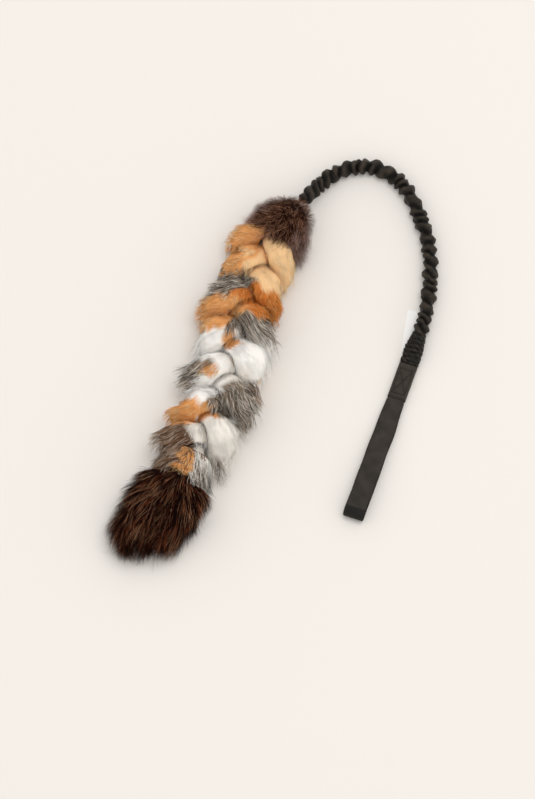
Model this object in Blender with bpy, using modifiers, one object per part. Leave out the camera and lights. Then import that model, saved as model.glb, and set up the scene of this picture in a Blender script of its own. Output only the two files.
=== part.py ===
"""Fur braid tug toy, lying on a table.

Three pieced fur strands are plaited between a dark pelt collar and a dark pelt tail.
A gathered bungee sleeve leaves the collar, arches round and ends in a webbing hand loop.
Metres, +Z up. +Y runs up along the braid and along the handle, and the table is z = 0.
"""

from math import cos, pi, radians, sin

import bmesh
import bpy
import numpy as np

# Clearances
SEAT = 0.0003
FUR_GAP = 0.0020
SWING_GAP = 0.0005
FOLD_GAP = 0.0004

# How far a cutter runs past the face that it opens
CUT_THROUGH = 0.0010

# Step along a line over which its direction is read
NEAR = 0.0005

# Middle of the plan box round the toy without its cord, moved to the origin at the end
TOY_MIDDLE = (0.0146, -0.0043)

# Braid: its line in plan between the collar and the tail, and the lay of its strands
BRAID_LINE = (
    (-0.0505, 0.1160),
    (-0.0517, 0.0830),
    (-0.0475, 0.0400),
    (-0.0435, 0.0000),
    (-0.0430, -0.0300),
    (-0.0460, -0.0700),
)
BRAID_END = (-0.0510, -0.1080)
PITCH = 0.1170
FIRST_LEFT = 0.0300
LAY_WIDTH = 0.0205
LAY_HEIGHT = 0.0120
END_LAY = 0.0080
BOUND_LENGTH = 0.0130
GATHER_LENGTH = 0.0240
STRAIGHT_END = 0.0110

# One strand of fur, lying free, and pulled small where it is bound
STRAND_SIDE = 0.0165
STRAND_DEPTH = 0.0095
BOUND_SIZE = 0.0060
STRAND_STEP = 0.0055
FUR_SIDES = 12
BRAID_HEIGHT = LAY_HEIGHT + STRAND_DEPTH

# Fur of each strand from the collar down, with where each strip ends along the braid
STRANDS = (
    ("a", (("tan", 0.058), ("rust", 0.117), ("white", 0.175), ("grey", 0.233), ("brown", None))),
    ("b", (("tan", 0.066), ("grey", 0.128), ("white", 0.160), ("grey", 0.187), ("white", None))),
    ("c", (("cream", 0.078), ("tan", 0.136), ("cream", 0.195), ("tan", 0.252), ("silver", None))),
)

# Core cord inside each strand
CORE_RADIUS = 0.0018
CORE_CLEARANCE = 0.0005
CORE_STEP = 0.0065

# Thread bindings round the strand ends: the farthest point of the lay's figure of eight
FIGURE_REACH = 1.25
BOUND_REACH = FIGURE_REACH * END_LAY + BOUND_SIZE
BINDING_WALL = 0.0015
BINDING_LENGTH = 0.0085
BINDING_START = 0.0025
TURNED_STEPS = 24

# Bungee sleeve, its elastic and their route, from the collar to the cuff
SLEEVE_RADIUS = 0.0074
SLEEVE_WAIST = 0.0058
GATHERS = 28
ROUND_END = (0, 35, 62, 82)
ELASTIC_RADIUS = 0.0039
ELASTIC_CLEARANCE = 0.0004
ELASTIC_START = 0.0035
SLEEVE_PIVOT = (-0.0325, 0.1975)
HANDLE_X = 0.1190
CUFF_TOP = 0.1080
CORD_ROUTE = (
    (-0.0283, 0.2095, 0.0180),
    (-0.0238, 0.2225, 0.0125),
    (-0.0175, 0.2345, 0.0088),
    (-0.0090, 0.2455, SLEEVE_RADIUS),
    (0.0030, 0.2540, SLEEVE_RADIUS),
    (0.0160, 0.2590, SLEEVE_RADIUS),
    (0.0300, 0.2595, SLEEVE_RADIUS),
    (0.0440, 0.2560, SLEEVE_RADIUS),
    (0.0570, 0.2490, SLEEVE_RADIUS),
    (0.0695, 0.2375, SLEEVE_RADIUS),
    (0.0810, 0.2240, SLEEVE_RADIUS),
    (0.0910, 0.2105, SLEEVE_RADIUS),
    (0.0995, 0.1960, SLEEVE_RADIUS),
    (0.1060, 0.1810, SLEEVE_RADIUS),
    (0.1110, 0.1650, SLEEVE_RADIUS),
    (0.1150, 0.1480, SLEEVE_RADIUS),
    (0.1178, 0.1320, SLEEVE_RADIUS),
    (HANDLE_X, 0.1200, SLEEVE_RADIUS),
)

# Collar: its lean in plan, the sleeve's anchor inside it and the pelt round both
COLLAR_LEAN = radians(20)
ANCHOR_LENGTH = 0.0205
ANCHOR_NOSE = 0.0070
ANCHOR_RADIUS = 0.0155
COLLAR_RADIUS = 0.0210
COLLAR_LENGTH = 0.0355
COLLAR_LIP = 0.0095
COLLAR_SPREAD = 1.15
MOUTH = SLEEVE_RADIUS + SWING_GAP

# The anchor's widening towards its foot, as (share of its length, share from nose to full radius)
ANCHOR_SHAPE = ((0.22, 0.62), (0.62, 1.0))

# The collar's outside, as (share of its length, share from lip to full radius)
COLLAR_SHAPE = ((0.0, 0.0), (0.05, 0.52), (0.17, 0.85), (0.40, 1.0), (0.75, 1.0))
HEM_SHARE = 0.5

# Tail: its lean in plan, the knot it hangs on and its tufts
TAIL_LEAN = radians(5)
KNOT_RADIUS = 0.0080
TUFT_STATIONS = 14
TUFT_GROWTH = 0.3
TUFT_TIP = 0.8
TIP_FALL = 0.75

# Each tuft's root and tip, as across, down and up from the pivot, then its half sizes at root and full
TUFTS = {
    "tail_left": ((-0.013, -0.002, 0.004), (-0.0227, 0.086, -0.004), (0.016, 0.009), (0.021, 0.012)),
    "tail_right": ((0.013, -0.002, 0.004), (0.020, 0.066, -0.004), (0.016, 0.009), (0.020, 0.012)),
    "tail_under": ((0.000, -0.002, -0.009), (-0.006, 0.078, -0.011), (0.018, 0.008), (0.024, 0.010)),
}

# Cuff, tab and label at the handle end of the sleeve
CUFF_LENGTH = 0.0300
CUFF_WIDTH = 0.0186
CUFF_PUCKER = 0.0004
CUFF_PUCKERS = 4
CUFF_SIDES = 16
CUFF_SQUARE = 0.55
CUFF_SLOPE = 1.6
CUFF_ANCHOR = 0.0160
LABEL_THICKNESS = 0.00035
LABEL_WIDTH = 0.0120
LABEL_LENGTH = 0.0520
LABEL_LEAN = radians(10)
LABEL_MIDDLE = (0.1098, 0.1080)
TAB_LENGTH = 0.0370
TAB_WIDTH = 0.0182
TAB_WALL = 0.0010
TAB_ROUND = 0.0012
POCKET_DEPTH = 0.0300

# Handle strap: flat webbing folded into a loop, its two ends in the tab
STRAP_WIDTH = 0.0200
STRAP_END_WIDTH = 0.0155
STRAP_THICKNESS = 0.0016
STRAP_LENGTH = 0.1315
LOOP_HEIGHT = 0.0130
STRAP_TAPER = 0.0340
STRAP_FLARE = 0.0060
STRAP_RISE = 0.0200
STRAP_STATIONS = 16
FOLD_STATIONS = 10

UNDERSIDE = LABEL_THICKNESS + SEAT
LAYERS = 2 * STRAP_THICKNESS + SEAT
TAB_HEIGHT = LAYERS + 2 * (SEAT + TAB_WALL)
CUFF_END = CUFF_TOP - CUFF_LENGTH
TAB_TOP = CUFF_END - 2 * FOLD_GAP
TAB_MOUTH = TAB_TOP - TAB_LENGTH
FOLD_LINE = CUFF_END - FOLD_GAP

COLOURS = {
    "tan": (0.55, 0.27, 0.10),
    "rust": (0.42, 0.15, 0.04),
    "white": (0.82, 0.80, 0.76),
    "grey": (0.22, 0.20, 0.19),
    "brown": (0.20, 0.14, 0.10),
    "cream": (0.80, 0.58, 0.36),
    "silver": (0.50, 0.47, 0.44),
    "dark_brown": (0.06, 0.028, 0.018),
    "core": (0.60, 0.57, 0.50),
    "thread": (0.10, 0.07, 0.06),
    "sleeve": (0.018, 0.017, 0.015),
    "elastic": (0.70, 0.68, 0.62),
    "webbing": (0.040, 0.034, 0.028),
    "label": (0.85, 0.84, 0.81),
}
ROUGHNESS = {"sleeve": 0.45, "webbing": 0.7, "elastic": 0.8}


def clear_scene():
    for thing in list(bpy.data.objects):
        bpy.data.objects.remove(thing, do_unlink=True)


def new_collection(name):
    group = bpy.data.collections.new(name)
    bpy.context.scene.collection.children.link(group)
    return group


def material(finish):
    found = bpy.data.materials.get(finish)
    if found:
        return found
    made = bpy.data.materials.new(finish)
    made.use_nodes = True
    shader = made.node_tree.nodes["Principled BSDF"]
    shader.inputs["Base Color"].default_value = (*COLOURS[finish], 1.0)
    shader.inputs["Roughness"].default_value = ROUGHNESS.get(finish, 0.9)
    shader.inputs["Metallic"].default_value = 0.0
    return made


def add_object(name, data, finish, group):
    thing = bpy.data.objects.new(name, data)
    group.objects.link(thing)
    if finish:
        data.materials.append(material(finish))
    return thing


def smooth(x):
    """Ease from 0 to 1 as x goes from 0 to 1."""
    x = np.clip(x, 0.0, 1.0)
    return x * x * (3.0 - 2.0 * x)


def mix(a, b, share):
    return a + (b - a) * share


# Smooth lines through a few chosen points


class Line:
    """A smooth curve through points, read by distance along it."""

    def __init__(self, points, fine=24):
        points = np.array(points, float)
        spans = np.linalg.norm(np.diff(points, axis=0), axis=1)
        knots = np.concatenate([[0.0], np.cumsum(spans)])
        slopes = np.gradient(points, knots, axis=0)
        t = (np.arange(fine) / fine)[:, None]
        pieces = []
        for i, span in enumerate(spans):
            pieces.append(
                (2 * t**3 - 3 * t**2 + 1) * points[i]
                + (t**3 - 2 * t**2 + t) * span * slopes[i]
                + (3 * t**2 - 2 * t**3) * points[i + 1]
                + (t**3 - t**2) * span * slopes[i + 1]
            )
        pieces.append(points[-1:])
        self.points = np.concatenate(pieces)
        steps = np.linalg.norm(np.diff(self.points, axis=0), axis=1)
        self.distance = np.concatenate([[0.0], np.cumsum(steps)])
        self.length = self.distance[-1]

    def at(self, distance):
        columns = [np.interp(distance, self.distance, column) for column in self.points.T]
        return np.stack(columns, axis=-1)

    def heading(self, distance):
        inside = np.clip(distance, NEAR, self.length - NEAR)
        return unit(self.at(inside + NEAR) - self.at(inside - NEAR))


def unit(vectors):
    return vectors / np.linalg.norm(vectors, axis=-1, keepdims=True)


# Solids from rings, tubes, turned profiles and cuts


def loft(name, rings, finish, group):
    """A closed solid through rings of as many points each, capped at both ends."""
    mesh = bpy.data.meshes.new(name)
    shape = bmesh.new()
    rows = [[shape.verts.new(point) for point in ring] for ring in rings]
    sides = len(rows[0])
    for row, below in zip(rows, rows[1:]):
        for i in range(sides):
            j = (i + 1) % sides
            shape.faces.new((row[i], row[j], below[j], below[i]))
    shape.faces.new(list(reversed(rows[0])))
    shape.faces.new(rows[-1])
    bmesh.ops.recalc_face_normals(shape, faces=shape.faces)
    shape.to_mesh(mesh)
    shape.free()
    mesh.shade_smooth()
    mesh.set_sharp_from_angle(angle=radians(50))
    return add_object(name, mesh, finish, group)


def tube(name, points, radius, finish, group, resolution=2, swell=None):
    """A round tube along points, with a share of its radius at each where swell gives them."""
    curve = bpy.data.curves.new(name, "CURVE")
    curve.dimensions = "3D"
    curve.bevel_depth = radius
    curve.bevel_resolution = resolution
    curve.use_fill_caps = True
    curve.twist_mode = "Z_UP"
    spline = curve.splines.new("POLY")
    spline.points.add(len(points) - 1)
    for i, place in enumerate(points):
        spline.points[i].co = (*place, 1.0)
        if swell is not None:
            spline.points[i].radius = swell[i]
    return add_object(name, curve, finish, group)


def as_mesh(thing, group):
    """The tube as a closed mesh object of the same name."""
    view = bpy.context.evaluated_depsgraph_get()
    mesh = bpy.data.meshes.new_from_object(thing.evaluated_get(view))
    name = thing.name
    place = thing.matrix_world.copy()
    bpy.data.objects.remove(thing, do_unlink=True)
    shape = bmesh.new()
    shape.from_mesh(mesh)
    bmesh.ops.remove_doubles(shape, verts=shape.verts, dist=0.00001)
    bmesh.ops.recalc_face_normals(shape, faces=shape.faces)
    shape.to_mesh(mesh)
    shape.free()
    made = bpy.data.objects.new(name, mesh)
    made.matrix_world = place
    group.objects.link(made)
    return made


def turned(name, profile, finish, group, closed=False):
    """A solid turned about its own Z from (radius, height) points, down the outer side."""
    mesh = bpy.data.meshes.new(name)
    shape = bmesh.new()
    corners = [shape.verts.new((radius, 0.0, height)) for radius, height in profile]
    for first, second in zip(corners, corners[1:]):
        shape.edges.new((first, second))
    if closed:
        shape.edges.new((corners[-1], corners[0]))
    shape.to_mesh(mesh)
    shape.free()
    thing = add_object(name, mesh, finish, group)
    screw = thing.modifiers.new("turn", "SCREW")
    screw.steps = TURNED_STEPS
    screw.render_steps = TURNED_STEPS
    screw.use_merge_vertices = True
    screw.merge_threshold = 0.00001
    screw.use_smooth_shade = True
    return thing


def cut(thing, cutter):
    cutter.hide_render = True
    cutter.display_type = "WIRE"
    change = thing.modifiers.new("cut", "BOOLEAN")
    change.operation = "DIFFERENCE"
    change.solver = "EXACT"
    change.object = cutter


# Places measured from a pivot along a leaning line in plan


def leaning(pivot, lean, across, along, up=0.0):
    """Across to the right and along the line that leans right of +Y, from a pivot in plan."""
    x = pivot[0] + across * cos(lean) + along * sin(lean)
    y = pivot[1] - across * sin(lean) + along * cos(lean)
    return (x, y, BRAID_HEIGHT + up)


def stand_on(thing, pivot, lean):
    """Turn a turned piece so that its own +Z runs along the leaning line."""
    thing.location = (pivot[0], pivot[1], BRAID_HEIGHT)
    thing.rotation_euler = (-pi / 2, 0.0, -lean)


STRAND_TOP = MOUTH + ANCHOR_LENGTH + SEAT
TAIL_SEAT = KNOT_RADIUS + SWING_GAP
TAIL_PIVOT_DROP = TAIL_SEAT + BINDING_WALL + SEAT
TAIL_PIVOT = (
    BRAID_END[0] - TAIL_PIVOT_DROP * sin(TAIL_LEAN),
    BRAID_END[1] - TAIL_PIVOT_DROP * cos(TAIL_LEAN),
)


def braid_line():
    """The braid's middle line from the collar down, straight where it is bound."""
    drops = (0.0, STRAIGHT_END, 2 * STRAIGHT_END)
    top = [leaning(SLEEVE_PIVOT, COLLAR_LEAN, 0.0, -STRAND_TOP - drop) for drop in drops]
    middle = [(x, y, BRAID_HEIGHT) for x, y in BRAID_LINE]
    end = [leaning(BRAID_END, TAIL_LEAN, 0.0, rise) for rise in (STRAIGHT_END, 0.0)]
    return Line([*top, *middle, *end])


def bound_share(braid, distance):
    """0 where the strands are bound at either end, and 1 where they lie free."""
    nearest = np.minimum(distance, braid.length - distance)
    return smooth((nearest - BOUND_LENGTH) / GATHER_LENGTH)


def strand_middle(braid, index, distance):
    """The middle of a strand: a figure of eight across the braid, once in each pitch."""
    heading = braid.heading(distance)
    right = np.stack([-heading[..., 1], heading[..., 0], 0 * heading[..., 2]], axis=-1)
    turn = 2 * pi * (distance - FIRST_LEFT - index * PITCH / len(STRANDS)) / PITCH
    free = bound_share(braid, distance)
    across = -mix(END_LAY, LAY_WIDTH, free) * np.cos(turn)
    up = -mix(END_LAY, LAY_HEIGHT, free) * np.sin(2 * turn)
    return braid.at(distance) + across[..., None] * right + up[..., None] * np.array([0.0, 0.0, 1.0])


def pressed_rings(middles, headings, sides, depths, others):
    """Rings of fur round middles, each as far out as it lies free or meets its neighbours halfway."""
    up = np.array([0.0, 0.0, 1.0])
    across = unit(np.cross(headings, up))
    over = np.cross(across, headings)
    rings = []
    for middle, right, top, side, depth in zip(middles, across, over, sides, depths):
        apart = others - middle
        far = np.linalg.norm(apart, axis=1)
        ring = []
        for i in range(FUR_SIDES):
            angle = 2 * pi * (i + 0.5) / FUR_SIDES
            way = unit(cos(angle) * side * right + sin(angle) * depth * top)
            free = 1.0 / np.hypot(way @ right / side, way @ top / depth)
            toward = apart @ way
            near = toward > 0.0001
            halfway = (far[near] - FUR_GAP) * far[near] / (2 * toward[near])
            reach = min(free, halfway.min()) if near.any() else free
            ring.append(middle + reach * way)
        rings.append(ring)
    return rings


def strand_rings(braid, index, start, end):
    """Rings of one strip of a strand between two distances along the braid."""
    count = int(np.ceil((end - start) / STRAND_STEP)) + 1
    distance = np.linspace(start, end, count)
    middles = strand_middle(braid, index, distance)
    ahead = strand_middle(braid, index, distance + NEAR)
    behind = strand_middle(braid, index, distance - NEAR)
    free = bound_share(braid, distance)
    straight = smooth(np.minimum(distance, braid.length - distance) / STRAIGHT_END)[:, None]
    headings = unit(mix(braid.heading(distance), unit(ahead - behind), straight))
    whole = np.linspace(0.0, braid.length, 400)
    others = [strand_middle(braid, k, whole) for k in range(len(STRANDS)) if k != index]
    sides = mix(BOUND_SIZE, STRAND_SIDE, free)
    depths = mix(BOUND_SIZE, STRAND_DEPTH, free)
    return pressed_rings(middles, headings, sides, depths, np.concatenate(others))


def make_strands(braid, parts, cutters):
    pieces = []
    for index, (letter, strips) in enumerate(STRANDS):
        stations = np.linspace(0.0, braid.length, int(braid.length / CORE_STEP) + 1)
        inner = strand_middle(braid, index, stations)
        before = inner[0] + (inner[0] - inner[1])
        after = inner[-1] + (inner[-1] - inner[-2])
        route = [before, *inner, after]
        bore = tube(f"bore_{letter}", route, CORE_RADIUS + CORE_CLEARANCE, None, cutters, resolution=1)
        bore = as_mesh(bore, cutters)
        inset = np.clip(stations, CORE_RADIUS + SEAT, braid.length - CORE_RADIUS - SEAT)
        core = strand_middle(braid, index, inset)
        pieces.append(tube(f"core_cord_{letter}", core, CORE_RADIUS, "core", parts, resolution=1))
        start = 0.0
        for number, (fur, end) in enumerate(strips, 1):
            last = end is None
            stop = braid.length if last else end - SEAT / 2
            rings = strand_rings(braid, index, start, stop)
            strip = loft(f"strand_{letter}_{number}_{fur}", rings, fur, parts)
            cut(strip, bore)
            pieces.append(strip)
            start = stop + SEAT
    return pieces


def make_collar(parts):
    """The anchor and binding at the top of the braid, and the pelt collar round them."""
    foot = -MOUTH - ANCHOR_LENGTH
    side = [(ANCHOR_NOSE, -MOUTH)]
    for down, wide in ANCHOR_SHAPE:
        side.append((mix(ANCHOR_NOSE, ANCHOR_RADIUS, wide), -MOUTH - down * ANCHOR_LENGTH))
    side.append((ANCHOR_RADIUS, foot))
    anchor = turned("sleeve_anchor", ((0.0, -MOUTH), *side, (0.0, foot)), "sleeve", parts)
    binding_inner = BOUND_REACH + SEAT
    binding_outer = binding_inner + BINDING_WALL
    top = -STRAND_TOP - BINDING_START
    bottom = top - BINDING_LENGTH
    binding = turned(
        "collar_binding",
        ((binding_inner, top), (binding_outer, top), (binding_outer, bottom), (binding_inner, bottom)),
        "thread",
        parts,
        closed=True,
    )
    hem = -MOUTH - COLLAR_LENGTH
    inside = binding_outer + SEAT
    outline = []
    for down, wide in COLLAR_SHAPE:
        outline.append((mix(COLLAR_LIP, COLLAR_RADIUS, wide), -MOUTH - down * COLLAR_LENGTH))
    outline.append((mix(inside, COLLAR_RADIUS, HEM_SHARE), hem))
    outline.append((inside, hem))
    outline.append((inside, foot - SEAT))
    lining = [(radius + 2 * SEAT, height) for radius, height in reversed(side)]
    collar = turned("collar", (*outline, *lining), "dark_brown", parts, closed=True)
    for piece in (anchor, binding, collar):
        stand_on(piece, SLEEVE_PIVOT, COLLAR_LEAN)
    collar.scale = (COLLAR_SPREAD, 1.0, 1.0)
    return [anchor, binding, collar]


def make_tail_binding(parts):
    """The thread cup round the strand bottoms, with its closed end over the tail's knot."""
    inner = BOUND_REACH + SEAT
    outer = inner + BINDING_WALL
    floor = TAIL_SEAT + BINDING_WALL
    rim = floor + SEAT + BINDING_START + BINDING_LENGTH
    inside = ((0.0, floor), (inner, floor), (inner, rim))
    profile = (*inside, (outer, rim), (outer, TAIL_SEAT), (0.0, TAIL_SEAT))
    binding = turned("tail_binding", profile, "thread", parts)
    stand_on(binding, TAIL_PIVOT, TAIL_LEAN)
    return binding


def ball(name, radius, finish, group):
    """A ball on the tail's pivot."""
    mesh = bpy.data.meshes.new(name)
    shape = bmesh.new()
    bmesh.ops.create_uvsphere(shape, u_segments=16, v_segments=10, radius=radius)
    shape.to_mesh(mesh)
    shape.free()
    mesh.shade_smooth()
    thing = add_object(name, mesh, finish, group)
    thing.location = (*TAIL_PIVOT, BRAID_HEIGHT)
    return thing


def make_tail(parts, cutters):
    """The knot and the three tufts of the tail, which press against each other."""
    pieces = [ball("tail_knot", KNOT_RADIUS, "core", parts)]
    space = ball("knot_space", KNOT_RADIUS + SEAT, None, cutters)
    share = np.linspace(0.0, 1.0, TUFT_STATIONS)
    middles = {}
    for name, (root, tip, _, _) in TUFTS.items():
        route = []
        for t in share:
            across = mix(root[0], tip[0], smooth(t))
            up = mix(root[2], tip[2], smooth(t))
            route.append(leaning(TAIL_PIVOT, TAIL_LEAN, across, -mix(root[1], tip[1], t), up))
        middles[name] = np.array(route)
    grow = smooth(share / TUFT_GROWTH)
    narrow = np.sqrt(1.0 - TIP_FALL * (np.clip(share - TUFT_TIP, 0.0, 1.0) / (1.0 - TUFT_TIP)) ** 2)
    for name, (_, _, slim, full) in TUFTS.items():
        route = middles[name]
        others = np.concatenate([middles[other] for other in middles if other != name])
        sides = mix(slim[0], full[0], grow) * narrow
        depths = mix(slim[1], full[1], grow) * narrow
        rings = pressed_rings(route, unit(np.gradient(route, axis=0)), sides, depths, others)
        tuft = loft(name, rings, "dark_brown", parts)
        cut(tuft, space)
        pieces.append(tuft)
    return pieces


def cord_line():
    """The sleeve's middle line, from the pivot in the collar to the cuff."""
    pivot = (*SLEEVE_PIVOT, BRAID_HEIGHT)
    return Line([pivot, *CORD_ROUTE, (HANDLE_X, CUFF_TOP + SEAT, SLEEVE_RADIUS)])


def make_bungee(cord, parts, cutters):
    """The gathered sleeve with a round end at its pivot, and the elastic inside it."""
    spacing = cord.length / GATHERS
    stations = np.arange(1, 2 * GATHERS) * spacing / 2
    points = list(cord.at(stations))
    swell = [SLEEVE_WAIST / SLEEVE_RADIUS if i % 2 else 1.0 for i in range(len(points))]
    start = cord.at(0.0)
    back = -cord.heading(0.0)
    for angle in ROUND_END:
        points.insert(0, start + SLEEVE_RADIUS * sin(radians(angle)) * back)
        swell.insert(0, cos(radians(angle)))
    points.append(cord.at(cord.length))
    swell.append(1.0)
    sleeve = as_mesh(tube("bungee_sleeve", points, SLEEVE_RADIUS, "sleeve", parts, 3, swell), parts)
    inner = np.concatenate([[ELASTIC_START], stations[1::2]])
    route = [*cord.at(inner), cord.at(cord.length)]
    beyond = (HANDLE_X, CUFF_TOP - SEAT, SLEEVE_RADIUS)
    bore = tube("sleeve_bore", [*route, beyond], ELASTIC_RADIUS + ELASTIC_CLEARANCE, None, cutters)
    cut(sleeve, as_mesh(bore, cutters))
    route[0] = cord.at(ELASTIC_START + ELASTIC_CLEARANCE)
    end = (HANDLE_X, CUFF_TOP - CUFF_ANCHOR, SLEEVE_RADIUS)
    elastic = tube("elastic_cord", [*route, end], ELASTIC_RADIUS, "elastic", parts)
    return [sleeve, elastic]


def make_cuff(parts, cutters):
    """The stitched end of the sleeve, drawn from round to flat, with puckers across it."""
    rows = 4 * CUFF_PUCKERS + 1
    rings = []
    for row in range(rows):
        t = row / (rows - 1)
        pucker = CUFF_PUCKER * cos(2 * pi * CUFF_PUCKERS * t) - CUFF_PUCKER
        half_width = mix(SLEEVE_RADIUS, CUFF_WIDTH / 2, smooth(2 * t)) + pucker
        top = mix(2 * SLEEVE_RADIUS, UNDERSIDE + TAB_HEIGHT, t**CUFF_SLOPE) + pucker
        flat = mix(1.0, CUFF_SQUARE, t)
        ring = []
        for i in range(CUFF_SIDES):
            angle = 2 * pi * (i + 0.5) / CUFF_SIDES
            right = np.sign(cos(angle)) * abs(cos(angle)) ** flat
            over = np.sign(sin(angle)) * abs(sin(angle)) ** flat
            z = mix(UNDERSIDE, top, (1.0 + over) / 2)
            ring.append((HANDLE_X + half_width * right, CUFF_TOP - t * CUFF_LENGTH, z))
        rings.append(ring)
    cuff = loft("sleeve_cuff", rings, "sleeve", parts)
    beyond = (HANDLE_X, CUFF_TOP + CUT_THROUGH, SLEEVE_RADIUS)
    inner = (HANDLE_X, CUFF_TOP - CUFF_ANCHOR - ELASTIC_CLEARANCE, SLEEVE_RADIUS)
    bore = tube("cuff_bore", [beyond, inner], ELASTIC_RADIUS + ELASTIC_CLEARANCE, None, cutters)
    cut(cuff, as_mesh(bore, cutters))
    return cuff


def box(name, size, middle, finish, group):
    mesh = bpy.data.meshes.new(name)
    shape = bmesh.new()
    bmesh.ops.create_cube(shape, size=1.0)
    bmesh.ops.scale(shape, vec=size, verts=shape.verts)
    shape.to_mesh(mesh)
    shape.free()
    thing = add_object(name, mesh, finish, group)
    thing.location = middle
    return thing


def make_label(parts):
    """The blank label, flat on the table under the cuff."""
    size = (LABEL_WIDTH, LABEL_LENGTH, LABEL_THICKNESS)
    label = box("label", size, (*LABEL_MIDDLE, LABEL_THICKNESS / 2), "label", parts)
    label.rotation_euler = (0.0, 0.0, LABEL_LEAN)
    return label


def make_tab(parts, cutters):
    """The flattened end of the sleeve, a pocket over the strap's two ends."""
    size = (TAB_WIDTH, TAB_LENGTH, TAB_HEIGHT)
    middle = (HANDLE_X, TAB_TOP - TAB_LENGTH / 2, UNDERSIDE + TAB_HEIGHT / 2)
    tab = box("handle_tab", size, middle, "sleeve", parts)
    rounding = tab.modifiers.new("edges", "BEVEL")
    rounding.width = TAB_ROUND
    rounding.segments = 2
    space = (STRAP_END_WIDTH + 2 * SEAT, POCKET_DEPTH + 2 * SEAT, LAYERS + 2 * SEAT)
    centre = (HANDLE_X, TAB_MOUTH + POCKET_DEPTH / 2, UNDERSIDE + TAB_HEIGHT / 2)
    cut(tab, box("strap_pocket", space, centre, None, cutters))
    return tab


def strap_path():
    """The strap's middle line in the (y, z) plane, from one end in the tab round to the other."""
    half = STRAP_THICKNESS / 2
    seat = UNDERSIDE + TAB_WALL + SEAT + half
    inner_end = TAB_MOUTH + POCKET_DEPTH - SEAT
    fold_radius = LOOP_HEIGHT / 2 - half
    fold_middle = TAB_MOUTH - STRAP_LENGTH + LOOP_HEIGHT / 2
    bare = TAB_MOUTH - SEAT
    flared = bare - STRAP_FLARE
    run = [inner_end, bare, mix(bare, flared, 0.5), *np.linspace(flared, fold_middle, STRAP_STATIONS)]
    path = []
    for y in run:
        down = smooth((flared - y) / STRAP_RISE)
        path.append((y, mix(seat, half, down)))
    for turn in np.linspace(0.0, pi, FOLD_STATIONS + 2)[1:-1]:
        path.append((fold_middle - fold_radius * sin(turn), LOOP_HEIGHT / 2 - fold_radius * cos(turn)))
    upper = seat + STRAP_THICKNESS + SEAT
    for y in reversed(run):
        rise = smooth((flared - y) / (flared - fold_middle))
        path.append((y, mix(upper, LOOP_HEIGHT - half, rise)))
    return np.array(path)


def make_strap(parts):
    """The hand loop: the strap's flat section carried along its path, narrowed in the tab."""
    path = strap_path()
    heading = unit(np.gradient(path, axis=0))
    rings = []
    for (y, z), (along, rise) in zip(path, heading):
        bare = smooth((TAB_MOUTH - SEAT - y) / STRAP_TAPER)
        half_width = mix(STRAP_END_WIDTH, STRAP_WIDTH, bare) / 2
        ring = []
        for across, over in ((-1, -1), (1, -1), (1, 1), (-1, 1)):
            off = over * STRAP_THICKNESS / 2
            ring.append((HANDLE_X + across * half_width, y - rise * off, z + along * off))
        rings.append(ring)
    return loft("handle_strap", rings, "webbing", parts)


def add_pivot(name, place, parent, group):
    """An empty on a joint, under the empty of the joint before it."""
    pivot = bpy.data.objects.new(name, None)
    pivot.empty_display_size = 0.02
    pivot.location = place
    group.objects.link(pivot)
    hang([pivot], parent)
    return pivot


def hang(pieces, parent):
    """Parent pieces where they stand."""
    bpy.context.view_layer.update()
    for piece in pieces:
        piece.parent = parent
        piece.matrix_parent_inverse = parent.matrix_world.inverted()


def main():
    clear_scene()
    parts = new_collection("fur_braid_tug_toy")
    cutters = new_collection("cutters")
    braid = braid_line()
    cord = cord_line()

    toy = bpy.data.objects.new("toy", None)
    parts.objects.link(toy)
    bungee_pivot = add_pivot("bungee_swing", (*SLEEVE_PIVOT, BRAID_HEIGHT), toy, parts)
    stretch = add_pivot("bungee_stretch", (HANDLE_X, CUFF_TOP, SLEEVE_RADIUS), bungee_pivot, parts)
    fold = add_pivot("handle_fold", (HANDLE_X, FOLD_LINE, UNDERSIDE + TAB_HEIGHT), stretch, parts)
    tail_pivot = add_pivot("tail_swing", (*TAIL_PIVOT, BRAID_HEIGHT), toy, parts)

    fixed = [*make_strands(braid, parts, cutters), *make_collar(parts), make_tail_binding(parts)]
    hang(fixed, toy)
    hang(make_bungee(cord, parts, cutters), bungee_pivot)
    hang([make_cuff(parts, cutters), make_label(parts)], stretch)
    hang([make_tab(parts, cutters), make_strap(parts)], fold)
    hang(make_tail(parts, cutters), tail_pivot)
    hang([thing for thing in cutters.objects], toy)
    toy.location = (-TOY_MIDDLE[0], -TOY_MIDDLE[1], 0.0)


main()
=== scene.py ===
"""Looks of the fur braid tug toy: its pelts, gathered sleeve, webbing handle and plain stage."""

from collections import namedtuple
from math import ceil, cos, pi, radians, sin, sqrt

import bpy
import numpy as np
from bpy.props import FloatProperty, FloatVectorProperty, IntProperty, PointerProperty
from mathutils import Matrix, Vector, kdtree


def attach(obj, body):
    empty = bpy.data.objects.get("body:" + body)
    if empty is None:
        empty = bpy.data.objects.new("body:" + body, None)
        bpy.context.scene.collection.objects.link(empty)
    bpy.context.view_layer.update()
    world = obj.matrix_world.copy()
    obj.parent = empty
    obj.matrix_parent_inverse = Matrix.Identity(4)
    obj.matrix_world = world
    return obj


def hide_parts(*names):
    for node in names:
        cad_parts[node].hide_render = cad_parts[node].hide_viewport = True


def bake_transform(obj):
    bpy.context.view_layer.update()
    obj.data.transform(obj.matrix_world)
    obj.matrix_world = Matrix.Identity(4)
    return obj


bl_info = {
    "name": "Fur Braid Tug Toy",
    "version": (1, 0, 0),
    "blender": (4, 5, 0),
    "location": "View3D > Sidebar > Tug Toy",
    "description": "Dresses the tug toy with pelts, a gathered sleeve, a webbing handle and a stage",
    "category": "Object",
}

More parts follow.
